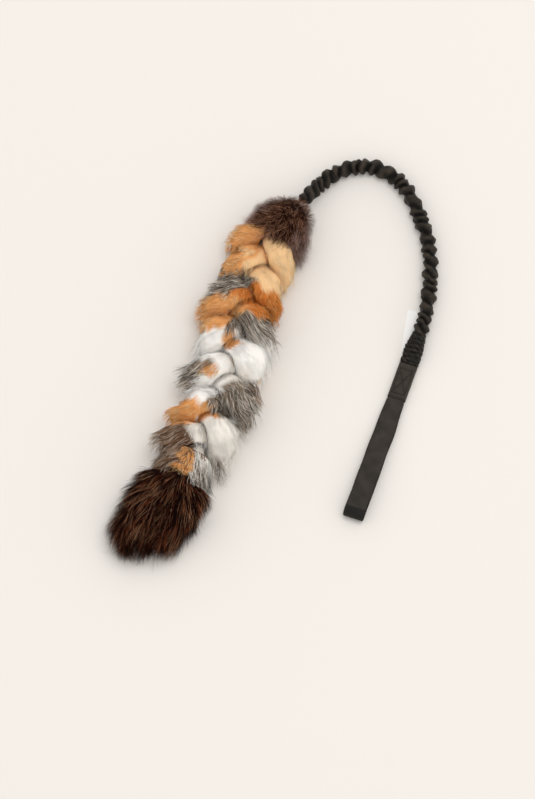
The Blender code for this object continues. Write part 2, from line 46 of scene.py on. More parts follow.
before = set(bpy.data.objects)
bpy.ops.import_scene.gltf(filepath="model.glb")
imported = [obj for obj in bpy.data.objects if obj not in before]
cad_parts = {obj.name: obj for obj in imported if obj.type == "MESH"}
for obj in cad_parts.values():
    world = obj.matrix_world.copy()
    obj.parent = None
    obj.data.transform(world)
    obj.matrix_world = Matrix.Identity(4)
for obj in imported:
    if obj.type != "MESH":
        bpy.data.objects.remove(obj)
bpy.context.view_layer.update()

# Unevenness: how deep it is, over what length it changes, and the seed of its waves. WAVES is how many
# waves are laid over each other
Uneven = namedtuple("Uneven", "depth size seed")
WAVES = 6

# Up in the frame, the steps of a line between two of its points, and the points worked on at a time
UP = np.array([0.0, 0.0, 1.0])
LINE_STEPS = 24
BATCH = 2000

# The toy as it is laid out in plan, in metres, and the middle of that plan
TOY_MIDDLE = np.array([0.0146, -0.0043, 0.0])
BRAID_LINE = (
    (-0.0505, 0.1160),
    (-0.0517, 0.0830),
    (-0.0475, 0.0400),
    (-0.0435, 0.0000),
    (-0.0430, -0.0300),
    (-0.0460, -0.0700),
)
BRAID_END = (-0.0510, -0.1080)
SLEEVE_PIVOT = (-0.0325, 0.1975)
STRAIGHT_END = 0.0110
STRAND_TOP = 0.0287
COLLAR_LEAN = radians(20)
TAIL_LEAN = radians(5)
TAIL_DROP = 0.0103

# Lay of the strands in the braid
FIRST_LEFT = 0.0300
LAY_WIDTH = 0.0205
LAY_HEIGHT = 0.0120
END_LAY = 0.0080
BOUND_LENGTH = 0.0130
GATHER_LENGTH = 0.0240
BOUND_SIZE = 0.0060
FUR_GAP = 0.0004
NEAR = 0.0005
BRAID_STATIONS = 800
STRAND_STATIONS = 400

# A ring meets a neighbour only on the side that faces it, by more than FACING, in metres. Elsewhere it
# could reach as far as UNPRESSED, which is farther than any strand is wide
FACING = 0.0001
UNPRESSED = 1.0

# Each strand's strips: the name of its fur, and where along the braid it ends
STRANDS = (
    ("a", (("tan", 0.058), ("rust", 0.117), ("white", 0.175), ("grey", 0.233), ("brown", None))),
    ("b", (("tan", 0.066), ("grey", 0.128), ("white", 0.160), ("grey", 0.187), ("white", None))),
    ("c", (("cream", 0.078), ("tan", 0.136), ("cream", 0.195), ("tan", 0.252), ("silver", None))),
)

# The sleeve's route from the collar to the cuff
SLEEVE_RADIUS = 0.0074
HANDLE_X = 0.1190
CUFF_TOP = 0.1080
SEAT = 0.0003
CORD_ROUTE = (
    (-0.0283, 0.2095, 0.0180),
    (-0.0238, 0.2225, 0.0125),
    (-0.0175, 0.2345, 0.0088),
    (-0.0090, 0.2455, SLEEVE_RADIUS),
    (0.0030, 0.2540, SLEEVE_RADIUS),
    (0.0160, 0.2590, SLEEVE_RADIUS),
    (0.0300, 0.2595, SLEEVE_RADIUS),
    (0.0440, 0.2560, SLEEVE_RADIUS),
    (0.0570, 0.2490, SLEEVE_RADIUS),
    (0.0695, 0.2375, SLEEVE_RADIUS),
    (0.0810, 0.2240, SLEEVE_RADIUS),
    (0.0910, 0.2105, SLEEVE_RADIUS),
    (0.0995, 0.1960, SLEEVE_RADIUS),
    (0.1060, 0.1810, SLEEVE_RADIUS),
    (0.1110, 0.1650, SLEEVE_RADIUS),
    (0.1150, 0.1480, SLEEVE_RADIUS),
    (0.1178, 0.1320, SLEEVE_RADIUS),
    (HANDLE_X, 0.1200, SLEEVE_RADIUS),
)
SLEEVE_START = 0.0215

# Cuff, tab and strap
CUFF_LENGTH = 0.0300
TAB_GAP = 0.0008
LABEL_THICKNESS = 0.00035
UNDERSIDE = LABEL_THICKNESS + SEAT
TAB_HEIGHT = 0.0061
TAB_WALL = 0.0010
TAB_TOP = CUFF_TOP - CUFF_LENGTH - TAB_GAP
TAB_LENGTH = 0.0370
TAB_MOUTH = TAB_TOP - TAB_LENGTH
TAB_WIDTH = 0.0182
STRAP_WIDTH = 0.0200
STRAP_END_WIDTH = 0.0155
STRAP_THICKNESS = 0.0016
STRAP_LENGTH = 0.1315
LOOP_HEIGHT = 0.0130
STRAP_TAPER = 0.0340
STRAP_NECK_WIDTH = 0.0178
STRAP_NECK = 0.0030
STRAP_FLARE = 0.0060
STRAP_RISE = 0.0200
POCKET_DEPTH = 0.0300
FOLD_MIDDLE = TAB_MOUTH - STRAP_LENGTH + LOOP_HEIGHT / 2

# The sleeve's gathers: the points of a ring and the rings of a gather, how far gathers slant, how round
# their crests are, how much weaker and stronger than that the painted highlight on their crests gets, how
# unevenly they run, and the fabric's small puckers and creases, read at a radius of SLEEVE_CORE
SLEEVE_SIDES = 36
GATHER_RINGS = 14
GATHER_SLANT = 0.30
CREST_ROUNDING = 0.60
CREST_RANGE = (0.4, 1.3)
GATHER_WARP = Uneven(0.10, 0.009, 47)
SLEEVE_PUCKER = Uneven(0.00045, 0.0052, 45)
SLEEVE_CREASE = Uneven(0.00024, 0.0026, 46)
SLEEVE_CORE = 0.0060

# How the slant, its way round, the spacing and the crests change, over sizes counted in gathers
SLANT_DRIFT = Uneven(0.20, 4.0, 41)
SLANT_TURN = Uneven(0.5, 3.4, 42)
SPACING_DRIFT = Uneven(0.20, 3.0, 43)
CREST_DRIFT = Uneven(0.22, 1.1, 44)

# The sleeve's ends: over what length it goes over into the cuff and how much slimmer than the cuff it
# gets, over what length it is rounded at the collar and how slim there, and the size it may not pass
CUFF_JOIN = 0.0060
CUFF_INSET = 0.0002
SLEEVE_ROUNDING = 0.0045
LEAST_ROUNDING = 0.12
LARGEST_GATHER = 1.16

# The elastic inside the sleeve
ELASTIC_START = 0.0040
ELASTIC_RADIUS = 0.0039
ELASTIC_RINGS = 90
ELASTIC_SIDES = 12

# The cuff: its rings, how it flattens towards the tab, its puckers, the creases above a level of its
# rings, its bulges, and how far it is paler: by rubbing, and by a painted highlight where its puckers rise
CUFF_RINGS = 110
CUFF_SIDES = 48
CUFF_END_HALF = 0.0093
CUFF_EASE = 1.6
CUFF_END_FLATNESS = 0.55
CUFF_PUCKER = 0.00030
CUFF_PUCKERS = 7
PUCKER_SWAY = 1.6
CREASED_ABOVE = 0.2
CUFF_CREASE = Uneven(0.00042, 0.0032, 61)
CUFF_BULGE = Uneven(0.0003, 0.005, 62)
CUFF_RUB = Uneven(0.45, 0.0026, 63)
PUCKER_HIGHLIGHT_DEPTH = 0.0012
CUFF_RUBBED = 0.50
MOST_RUBBED = 1.3

# The cuff's zigzag seams, in rows across it
ZIGZAG_ROWS = 6
ZIGZAG_FIRST = 0.0035
ZIGZAG_PITCH = 0.0046
ZIGZAG_STEPS = 12
ZIGZAG_STEP = 0.0013
ZIGZAG_LEFT = 0.0078
ZIGZAG_RISE = 0.0012
ZIGZAG_ARCH = 0.0004
ZIGZAG_SUNK = 0.00005
ZIGZAG_THREAD = 0.00034

# The tab: its rings, how square its section is, its upper side's creases, how far it is rubbed, the teeth
# of its pinked end, and its sewn box and cross
TAB_RINGS = 90
TAB_SIDES = 56
TAB_FLATNESS = 0.25
TAB_UPPER = 0.3
TAB_CREASE = Uneven(0.00022, 0.007, 81)
TAB_SUNK = 0.0002
TAB_RUB = 1.1
TAB_TEETH = 0.0006
TOOTH_POINTS = 4
BOX_HALF = 0.0066
BOX_TOP = 0.0060
BOX_FOOT = 0.0050
HEM = 0.0012
STITCH_PITCH = 0.0021
STITCH_GAP = 0.16
STITCH_SHARE = 0.68
STITCH_ARCH = 0.00026
STITCH_SUNK = 0.0001
STITCH_THREAD = 0.00036
THREAD_SIDES = 5

# The strap: its rings in the pocket, at the neck, along each run and round the fold, the points across
# each of its faces, how thin its edges are, and how unevenly it lies
POCKET_RINGS = 8
NECK_RINGS = 6
RUN_RINGS = 60
FOLD_RINGS = 22
STRAP_POINTS = 15
STRAP_EDGE = 0.97
EDGE_THINNESS = 0.55
STRAP_WAVE = Uneven(0.00018, 0.03, 71)

# Painted shade and highlight round the webbing's fold: distances up the strap, each with a share of its
# colour, darker round the fold and paler on a band just above it
FOLD_PAINTED_LIGHT = ((0.0010, 0.30), (0.0022, 0.34), (0.0030, 1.60), (0.0048, 1.25), (0.0075, 1.0))

# Hides turned round an axis, from pairs of a distance down from its pivot and a radius
COLLAR_CONE = (
    (0.0050, 0.0062),
    (0.0090, 0.0105),
    (0.0124, 0.0132),
    (0.0206, 0.0172),
    (0.0300, 0.0198),
    (0.0425, 0.0208),
    (0.0434, 0.0170),
)
KNOT_RUFF = ((-0.0075, 0.0120), (-0.0065, 0.0175), (0.0000, 0.0185), (0.0060, 0.0150))
BINDING_FRINGE = ((-0.0340, 0.0150), (-0.0290, 0.0178), (-0.0092, 0.0181), (-0.0086, 0.0178))
TURNED_RINGS = 24
TURNED_SIDES = 40

# The collar: how much wider than high it is, how far its hair fans out at what distance from its middle,
# how closely the hair grows, and its seed
COLLAR_SPREAD = 1.15
COLLAR_SIDE = 0.020
COLLAR_FAN = 1.1
COLLAR_DENSITY = 1.5
COLLAR_SEED = 900

# The collar's paler rim: how far its hide faces up there, and how unevenly that level runs
RIM_LEVEL = 0.55
RIM_EDGE = Uneven(0.16, 0.010, 940)
RIM_SCATTER = 0.12

# The collar's hair: where it stops being combed up to the sleeve and over what length, how long it grows
# there, the same over the braid, how long at the sides and on top, and how much longer on the right
COMBED_UP = (0.016, 0.010)
MOUTH_GROWTH = 0.85
OVER_BRAID = (0.026, 0.014)
OVER_BRAID_GROWTH = 0.60
SIDE_AND_TOP_GROWTH = (1.25, 0.78)
RIGHT_GROWTH = 0.15

# The fringe: ivory above one edge and right of another, silver, tan and brown from right to left, how
# unevenly those meet, and how long its hair grows in the middle, at the sides and on top
IVORY_EDGE = -0.0255
IVORY_LEFT = 0.003
TAN_HALF = 0.006
FRINGE_EDGE = Uneven(0.004, 0.012, 801)
FRINGE_SPREAD = 1.25
FRINGE_RINGS = 12
FRINGE_GROWTH = (0.9, 1.5)
FRINGE_TOP_GROWTH = 0.7
FRINGE_SEED = 800

# The tail: its hides' length as a share of the tufts, and their size at the root and at the tip; how far
# its hair fans out at what distance from its middle, how far down, and how closely it grows
TUFT_HIDE_LENGTH = 0.78
TUFT_ROOT_SHARE = 0.95
TUFT_TIP_SHARE = 0.70
TAIL_FAN = 0.9
TAIL_SIDE = 0.030
TAIL_FANNED = 0.050
TAIL_DENSITY = 1.3

# The ruff round the tail's knot
RUFF_RINGS = 10
RUFF_SPREAD = 1.2
RUFF_GROWTH = 0.6
RUFF_SEED = 750

# Tufts: each has its root and its tip, across, down and up, and its half width and half depth at its root
# and beyond. TUFT_WIDENING is the share of its length over which it widens. TUFT_NARROWING is the share
# from which it narrows, the share over which it does, and how much of its section is lost
TUFT_RINGS = 30
TUFT_SIDES = 24
TUFT_WIDENING = 0.08
TUFT_NARROWING = (0.8, 0.2, 0.85)
TUFT_SEED = 700
TUFTS = {
    "tail_left": ((-0.013, -0.002, 0.004), (-0.0227, 0.086, -0.004), (0.016, 0.009), (0.021, 0.012)),
    "tail_right": ((0.013, -0.002, 0.004), (0.011, 0.066, -0.004), (0.016, 0.009), (0.020, 0.012)),
    "tail_under": ((0.000, -0.002, -0.009), (-0.006, 0.078, -0.011), (0.018, 0.008), (0.024, 0.010)),
}

# The photograph's frame, in pixels, and the view that it was taken from
PHOTO_HEIGHT = 799
MM_PER_PIXEL = 0.975
SENSOR = 36.0

# The stage: the lamp's size, place and colour, and half the floor's side
LAMP_SIZE = 2.4
LAMP_PLACE = (0.6, 0.7, 3.65)
WARM_WHITE = (1.0, 0.985, 0.965)
FLOOR_HALF = 6.0

# A coat: the length of its hairs, how far they stand up, curl and clump, their width as a share of the
# usual, and its dyes. A dye is a share of the hairs, then the colour at a hair's root and at its tip
Coat = namedtuple("Coat", "length lift curl clump width dyes")
COATS = {
    "tan": Coat(0.0066, 0.36, 0.42, 0.42, 1.0, (
        (0.50, (0.86, 0.37, 0.115), (0.95, 0.48, 0.170)),
        (0.25, (0.50, 0.160, 0.040), (0.82, 0.320, 0.095)),
        (0.25, (0.92, 0.52, 0.240), (0.97, 0.70, 0.400)),
    )),
    "rust": Coat(0.0068, 0.38, 0.42, 0.42, 1.0, (
        (0.46, (0.64, 0.165, 0.028), (0.90, 0.310, 0.068)),
        (0.36, (0.80, 0.310, 0.078), (0.95, 0.480, 0.165)),
        (0.18, (0.20, 0.045, 0.008), (0.45, 0.110, 0.020)),
    )),
    "cream": Coat(0.0060, 0.12, 0.08, 0.20, 0.9, (
        (0.60, (0.90, 0.54, 0.250), (0.95, 0.65, 0.340)),
        (0.40, (0.91, 0.64, 0.370), (0.96, 0.77, 0.520)),
    )),
    "white": Coat(0.0140, 0.16, 0.10, 0.35, 1.0, (
        (0.90, (0.985, 0.955, 0.910), (0.985, 0.970, 0.940)),
        (0.10, (0.93, 0.85, 0.76), (0.97, 0.92, 0.85)),
    )),
    "ivory": Coat(0.0135, 0.16, 0.08, 0.35, 0.9, (
        (0.70, (0.96, 0.91, 0.84), (0.975, 0.94, 0.88)),
        (0.30, (0.92, 0.84, 0.74), (0.96, 0.90, 0.81)),
    )),
    "grey": Coat(0.0118, 0.28, 0.12, 0.48, 0.80, (
        (0.41, (0.016, 0.012, 0.010), (0.032, 0.024, 0.019)),
        (0.18, (0.150, 0.105, 0.072), (0.380, 0.270, 0.185)),
        (0.41, (0.480, 0.390, 0.300), (0.970, 0.890, 0.790)),
    )),
    "brown": Coat(0.0125, 0.28, 0.08, 0.40, 0.9, (
        (0.46, (0.060, 0.026, 0.014), (0.150, 0.070, 0.036)),
        (0.30, (0.150, 0.078, 0.042), (0.480, 0.300, 0.180)),
        (0.24, (0.300, 0.220, 0.160), (0.860, 0.730, 0.600)),
    )),
    "silver": Coat(0.0165, 0.22, 0.12, 0.45, 0.95, (
        (0.52, (0.620, 0.550, 0.480), (0.970, 0.920, 0.850)),
        (0.28, (0.030, 0.022, 0.018), (0.090, 0.070, 0.058)),
        (0.20, (0.180, 0.140, 0.110), (0.500, 0.430, 0.360)),
    )),
    "seam": Coat(0.0095, 0.50, 0.16, 0.20, 1.1, (
        (1.00, (0.985, 0.965, 0.930), (0.985, 0.975, 0.950)),
    )),
    "collar": Coat(0.0122, 0.50, 0.34, 0.20, 0.70, (
        (0.46, (0.014, 0.004, 0.002), (0.050, 0.013, 0.005)),
        (0.28, (0.036, 0.010, 0.004), (0.500, 0.250, 0.150)),
        (0.26, (0.006, 0.002, 0.001), (0.012, 0.004, 0.002)),
    )),
    "collar_rim": Coat(0.0122, 0.50, 0.34, 0.16, 0.62, (
        (0.30, (0.040, 0.014, 0.009), (0.260, 0.130, 0.095)),
        (0.56, (0.110, 0.052, 0.038), (0.680, 0.470, 0.400)),
        (0.14, (0.012, 0.004, 0.002), (0.030, 0.010, 0.006)),
    )),
    "tail": Coat(0.0215, 0.20, 0.08, 0.34, 0.75, (
        (0.74, (0.005, 0.001, 0.001), (0.009, 0.002, 0.001)),
        (0.15, (0.020, 0.004, 0.002), (0.240, 0.058, 0.018)),
        (0.11, (0.030, 0.010, 0.004), (0.540, 0.290, 0.160)),
    )),
}

# How closely the hairs of each coat stand, as a share of the full density
COVER = {
    "tan": 0.62, "rust": 0.70, "cream": 0.45, "white": 0.22, "ivory": 0.22, "grey": 0.80,
    "brown": 0.75, "silver": 0.55,
}

# Share of the hairs left where a pale coat faces up, since its hairs lie flat there and shade each other
TOP_COVER = {"tan": 0.55, "rust": 0.70, "cream": 0.60, "white": 0.50, "ivory": 0.55}

# White coats whose hair stands up beside a seam, how close to the seam, and how much closer it grows
SEAM_COATS = ("white", "ivory")
SEAM_REACH = 0.0026
SEAM_COVER = 1.5

# Lobes of fur that press out on the braid's upper side, in millimetres and degrees. Along is measured
# down the braid from its bound top and across to its right, turn from across towards down, and comb,
# the way that the hair lies, from down towards right. Swell is how far a lobe puffs out past its strand
Lobe = namedtuple("Lobe", "coat along across reach width turn comb swell", defaults=(4,))
LOBES = (
    Lobe("tan", 30, -25, 17, 13, -28, -72, 6),
    Lobe("cream", 47, -12, 6, 6, -20, -20, 0),
    Lobe("tan", 46, -34, 9, 6, -10, -40, -16),
    Lobe("tan", 57, -14, 26, 5, 134, -43, 3),
    Lobe("cream", 60, 18, 26, 27, 0, 46),
    Lobe("grey", 85, -18, 28, 9, 142, -51, 5),
    Lobe("rust", 92, 17, 27, 20, 0, 35, 6),
    Lobe("tan", 114, -24, 23, 19, 0, -60, 9),
    Lobe("tan", 103, -2, 15, 9, -10, 0),
    Lobe("grey", 119, 15, 31, 11, 24, 61, 5),
    Lobe("grey", 122, -4, 14, 7, 87, 0),
    Lobe("tan", 140, -3, 9, 11, 80, 10),
    Lobe("white", 151, -19, 17, 19, 0, -40, 7),
    Lobe("white", 148, 26, 29, 27, -18, 50, 9),
    Lobe("grey", 180, -30, 17, 12, 127, -35, 5),
    Lobe("white", 165, -5, 13, 9, 30, -20, 2),
    Lobe("tan", 177, -13, 11, 6, -18, 0),
    Lobe("white", 197, -14, 20, 13, 132, -35),
    Lobe("ivory", 176, 14, 18, 7, -18, 20),
    Lobe("grey", 199, 19, 25, 21, 0, 42, 8),
    Lobe("brown", 178, 31, 7, 7, 0, 60),
    Lobe("tan", 226, -20, 29, 10, 152, -20, 11),
    Lobe("ivory", 237, 27, 37, 24, -18, 42),
    Lobe("brown", 268, -25, 30, 26, -18, -38, 14),
    Lobe("tan", 268, -5, 14, 12, 0, 0),
    Lobe("silver", 267, 24, 21, 14, 0, 46, 6),
)

# How far across the braid a lobe swells in full, how much longer the hair at its sides grows, how much
# it is combed outward, and how unevenly the lobes' edges run along and across the braid
OUTER = 0.022
SIDE_GROWTH = 0.5
OUTWARD_COMB = 0.4
LOBE_DRIFT = (Uneven(0.0022, 0.016, 5), Uneven(0.0022, 0.016, 6))

# How far a lobe's hair carries its colour along the comb, as a share of its length
HAIR_CARRY = 0.40

# The braid's upper side, which the lobes cover: shares of its height that it and its swelling start
# from, and how far down it may face
UPPER_FROM = 0.45
SWELL_FROM = 0.35
UPPER_FACING = -0.35

# A strip's hide: the distance between its rings and the points of one, its size without a lobe and how
# much a lobe adds, and the limits of its size, the larger of which it has where a neighbour presses
STRIP_SPACING = 0.0035
STRIP_SIDES = 20
BARE_SIZE = 0.92
LOBE_SIZE = 0.18
SIZE_RANGE = (0.5, 0.99)
PRESS_EASE = 3.0

# How much thinner the hair grows where a neighbour presses: a start, a slope and a least share
STRIP_THINNING = (1.15, 1.2, 0.25)
TUFT_THINNING = (1.15, 1.6, 0.12)

# Where pale hair counts as on top: how far up its hide faces, and how little a neighbour presses there.
# A seam runs where the hide is pressed by less than a share
TOP_FACING = 0.8
TOP_EASE = 4.0
SEAM_PRESSED = 0.4

# How far hair on and off a lobe follows the comb rather than the strip, and how long it grows
LOBE_COMB = 0.75
BARE_COMB = 0.5
LOBE_GROWTH = (0.80, 0.30)
BARE_GROWTH = 0.60

# A hair: where its points lie along it, its taper, its three-sided section, the faces between its points
# and the station that each point belongs to
HAIR_STATIONS = np.array([0.0, 0.38, 0.74, 1.0])
HAIR_TAPER = (1.0, 0.9, 0.6)
HAIR_SECTION = ((-1.0, 0.0), (1.0, 0.0), (0.0, 0.6))
HAIR_FACES = (
    (2, 1, 0),
    (0, 1, 4, 3), (1, 2, 5, 4), (2, 0, 3, 5),
    (3, 4, 7, 6), (4, 5, 8, 7), (5, 3, 6, 8),
    (6, 7, 9), (7, 8, 9), (8, 6, 9),
)
HAIR_POINTS = 10
HAIR_ROWS = np.arange(HAIR_POINTS) // 3

# How a hair stands and lies: how much its stand, its way and its neighbours' sway differ, how it bends
# over, down to the hide and to the ground, how often it curls, and how far it is twisted
STAND_SPREAD = 0.35
LOOSENESS = 0.14
SWAY_SIZE = 0.011
SWAY_START = 0.20
SWAY_BEND = 0.16
BEND_OVER = 0.38
BEND_DOWN = 0.16
DROOP = 0.10
CURL_TURNS = (3.0, 5.5)
HAIR_TWIST = 0.3

# Hairs in a lock, the least pull towards its leader, and how that pull grows towards the tips
HAIRS_IN_LOCK = 26
LEAST_PULL = 0.3
PULL_EASE = 1.6

# Lengths and widths of the hairs: the least share, what chance adds, and, for the lengths, what changes
# from place to place and over what size
LENGTH_SHARES = (0.72, 0.4, 0.10)
LENGTH_SIZE = 0.008
WIDTH_SHARES = (0.75, 0.5)

# Colours: how they go over from root to tip, how they differ, how much less so in pale hair, the range
# of all shades, how far a hair is shaded like the hide under it, and how much darker the hide under it
# is than its hairs' roots
TIP_EASE = 0.8
TONE_SPREAD = 0.16
TONE_SIZE = 0.009
TONE_RANGE = (0.5, 1.5)
PALE_EVENNESS = 0.85
SHADE_RANGE = (0.001, 0.985)
HIDE_SHADING = 0.85
HIDE_SHADE = 0.95

# How far hair stays off the floor, and how much of that is chance
FLOOR_CLEARANCE = 0.0005
LAYING = 0.0004

# The UV map: the hide's part and the hairs' part, how wide the cells lie, and a hair's place in its cell
HIDE_MAP_START = 0.005
HIDE_MAP_WIDTH = 0.24
HAIR_MAP_START = 0.27
HAIR_MAP_WIDTH = 0.72
CELLS_WIDE = 1.6
CELL_EDGE = 0.1
CELL_SIZE = 0.8
CELL_ROWS = (0.0, 0.35, 0.7, 1.0)

# Square millimetres in a square metre
SQUARE_MM = 1e6


def smooth(x):
    """Ease from 0 to 1 as x goes from 0 to 1."""
    x = np.clip(x, 0.0, 1.0)
    return x * x * (3.0 - 2.0 * x)


def mix(a, b, share):
    return a + (b - a) * share


def unit(vectors):
    return vectors / np.maximum(np.linalg.norm(vectors, axis=-1, keepdims=True), 1e-12)


def wander(points, size, seed):
    """Smooth noise between about -1 and 1 at points, which changes over about size."""
    rng = np.random.default_rng(seed)
    total = np.zeros(points.shape[:-1])
    for _ in range(WAVES):
        way = unit(rng.normal(size=points.shape[-1])) * 2 * pi / size * rng.uniform(0.4, 1.2)
        total += np.sin(points @ way + rng.uniform(0, 2 * pi))
    return total / sqrt(WAVES)


def stray(points, kind, scale=1.0):
    """How far something strays at points, by a kind of unevenness whose size is counted in a scale."""
    return kind.depth * wander(points, kind.size * scale, kind.seed)


def round_angles(sides, shift=0.0):
    """The angles of the points of a ring, turned by a share of the step between two."""
    return 2 * pi * (np.arange(sides) + shift) / sides


def batches(count):
    """Slices that go through a count of points a part at a time, to spare memory."""
    for first in range(0, count, BATCH):
        yield slice(first, first + BATCH)


# Lines, and places in the frame


class Line:
    """A smooth curve through points, read by distance along it."""

    def __init__(self, points):
        points = np.array(points, float)
        knots = lengths(points)
        spans = np.linalg.norm(np.diff(points, axis=0), axis=1)
        slopes = np.gradient(points, knots, axis=0)
        t = (np.arange(LINE_STEPS) / LINE_STEPS)[:, None]
        pieces = []
        for i, span in enumerate(spans):
            pieces.append(
                (2 * t**3 - 3 * t**2 + 1) * points[i]
                + (t**3 - 2 * t**2 + t) * span * slopes[i]
                + (3 * t**2 - 2 * t**3) * points[i + 1]
                + (t**3 - t**2) * span * slopes[i + 1]
            )
        pieces.append(points[-1:])
        self.points = np.concatenate(pieces)
        self.distance = lengths(self.points)
        self.length = self.distance[-1]

    def at(self, distance):
        columns = [np.interp(distance, self.distance, column) for column in self.points.T]
        return np.stack(columns, axis=-1)

    def heading(self, distance):
        inside = np.clip(distance, NEAR, self.length - NEAR)
        return unit(self.at(inside + NEAR) - self.at(inside - NEAR))


def leaning(pivot, lean, across, along, up, height):
    """Across to the right and along the line that leans right of +Y, from a pivot in plan."""
    x = pivot[0] + across * cos(lean) + along * sin(lean)
    y = pivot[1] - across * sin(lean) + along * cos(lean)
    return (x, y, height + up)


def placed(points):
    """Plan points moved to the frame, whose origin is the middle of the toy."""
    return np.asarray(points, float) - TOY_MIDDLE


# Meshes


def new_object(name, mesh, finish):
    thing = bpy.data.objects.new(name, mesh)
    bpy.context.scene.collection.objects.link(thing)
    mesh.materials.append(finish)
    return thing


def fill_mesh(name, points, corners, starts):
    """A mesh from arrays: points, the point of each face corner, and each face's first corner."""
    mesh = bpy.data.meshes.new(name)
    mesh.vertices.add(len(points))
    mesh.loops.add(len(corners))
    mesh.polygons.add(len(starts))
    mesh.vertices.foreach_set("co", points.astype(np.float32).ravel())
    mesh.loops.foreach_set("vertex_index", corners.astype(np.int32))
    mesh.polygons.foreach_set("loop_start", starts.astype(np.int32))
    mesh.update(calc_edges=True)
    return mesh


def skin(rows):
    """Points, corners and face starts of a closed tube through rows of as many points each."""
    count, sides = rows.shape[:2]
    i, j = np.meshgrid(np.arange(count - 1), np.arange(sides), indexing="ij")
    k = (j + 1) % sides
    quads = np.stack([i * sides + j, (i + 1) * sides + j, (i + 1) * sides + k, i * sides + k], axis=-1)
    corners = quads.reshape(-1)
    starts = np.arange(0, len(corners), 4)
    first = np.arange(sides)
    last = np.arange(sides)[::-1] + (count - 1) * sides
    starts = np.concatenate([starts, [len(corners), len(corners) + sides]])
    corners = np.concatenate([corners, first, last])
    return rows.reshape(-1, 3), corners, starts


def lengths(points):
    """Distances from the first of some points to each, along the points."""
    steps = np.linalg.norm(np.diff(points, axis=0), axis=1)
    return np.concatenate([[0.0], np.cumsum(steps)])


def tube_object(name, rows, finish, sheened_and_rubbed=None):
    """A shaded tube through rows, with a UV map in metres, and a share at each point of its finish's
    painted highlight and rubbing.
    """
    points, corners, starts = skin(rows)
    mesh = fill_mesh(name, points, corners, starts)
    mesh.shade_smooth()
    count, sides = rows.shape[:2]
    closed = np.concatenate([rows, rows[:, :1]], axis=1)
    steps = np.linalg.norm(np.diff(closed, axis=1), axis=2).mean(axis=0)
    around = np.concatenate([[0.0], np.cumsum(steps)])
    along = lengths(rows.mean(axis=1))
    i, j = np.meshgrid(np.arange(count - 1), np.arange(sides), indexing="ij")
    u = np.stack([around[j], around[j], around[j + 1], around[j + 1]], axis=-1)
    v = np.stack([along[i], along[i + 1], along[i + 1], along[i]], axis=-1)
    uv = np.stack([u, v], axis=-1).reshape(-1, 2)
    ends = len(corners) - len(uv)
    uv = np.concatenate([uv, np.zeros((ends, 2))])
    layer = mesh.uv_layers.new(name="Weave")
    layer.data.foreach_set("uv", uv.astype(np.float32).ravel())
    # The share of painted highlight and rubbing that the finish reads at each point
    if sheened_and_rubbed is not None:
        sheened_and_rubbed = np.broadcast_to(sheened_and_rubbed, rows.shape[:2])
        sheen_and_rub = mesh.attributes.new("sheen_and_rub", "FLOAT", "POINT")
        sheen_and_rub.data.foreach_set("value", sheened_and_rubbed.astype(np.float32).ravel())
    return new_object(name, mesh, finish)


def sideways(path):
    """Right and upper directions at points along a path, with right kept level."""
    heading = unit(np.gradient(path, axis=0))
    right = unit(np.cross(heading, UP))
    return right, np.cross(right, heading)


def round_ways(path, angle):
    """The ways out from each point along a path, at angles round it."""
    right, upper = sideways(path)
    return np.cos(angle)[..., None] * right[:, None, :] + np.sin(angle)[..., None] * upper[:, None, :]


# Shader nodes


class Socket:
    """An output socket that takes part in sums and products."""

    def __init__(self, finish, socket):
        self.finish = finish
        self.socket = socket

    def math(self, operation, first, second):
        return self.finish.node("ShaderNodeMath", {"operation": operation}, {0: first, 1: second})

    def __add__(self, other):
        return self.math("ADD", self, other)

    def __radd__(self, other):
        return self.math("ADD", other, self)

    def __mul__(self, other):
        return self.math("MULTIPLY", self, other)

    def __rmul__(self, other):
        return self.math("MULTIPLY", other, self)

    def __pow__(self, other):
        return self.math("POWER", self, other)


class Finish:
    """A material with one Principled shader, and the nodes that feed it."""

    def __init__(self, name, roughness=0.8, sheen=0.0, specular=0.5):
        self.material = bpy.data.materials.new(name)
        self.material.use_nodes = True
        self.tree = self.material.node_tree
        self.shader = self.tree.nodes["Principled BSDF"]
        self.shader.inputs["Roughness"].default_value = roughness
        self.shader.inputs["Sheen Weight"].default_value = sheen
        self.shader.inputs["Specular IOR Level"].default_value = specular

    def feed(self, socket, value):
        if isinstance(value, Socket):
            self.tree.links.new(value.socket, socket)
        elif isinstance(value, (tuple, list)) and len(value) == 3 and socket.type == "RGBA":
            socket.default_value = (*value, 1.0)
        else:
            socket.default_value = value

    def node(self, kind, settings=None, sockets=None, out=0):
        """A node of a kind: its settings first, then the values or links of its sockets."""
        made = self.tree.nodes.new(kind)
        for name, value in (settings or {}).items():
            setattr(made, name, value)
        for name, value in (sockets or {}).items():
            self.feed(made.inputs[name], value)
        return Socket(self, made.outputs[out])

    def blend(self, share, first, second):
        """A colour between two, by a share."""
        settings = {"data_type": "RGBA", "blend_type": "MIX"}
        return self.node("ShaderNodeMix", settings, {0: share, 6: first, 7: second}, out=2)

    def noise(self, place, size, detail=2.0):
        sockets = {"Vector": place, "Scale": 1.0 / size, "Detail": detail}
        return self.node("ShaderNodeTexNoise", None, sockets)

    def ridges(self, place, size, axis):
        """Rounded ridges of a width, from 0 to 1, across an axis of the place."""
        settings = {"wave_type": "BANDS", "bands_direction": axis, "wave_profile": "SIN"}
        return self.node("ShaderNodeTexWave", settings, {"Vector": place, "Scale": pi / 10 / size})

    def weave_place(self):
        return self.node("ShaderNodeUVMap", {"uv_map": "Weave"})

    def object_place(self):
        return self.node("ShaderNodeTexCoord", out=3)

    def set(self, name, value):
        self.feed(self.shader.inputs[name], value)

    def bump(self, height, depth, strength=1.0):
        sockets = {"Height": height, "Distance": depth, "Strength": strength}
        self.set("Normal", self.node("ShaderNodeBump", None, sockets))


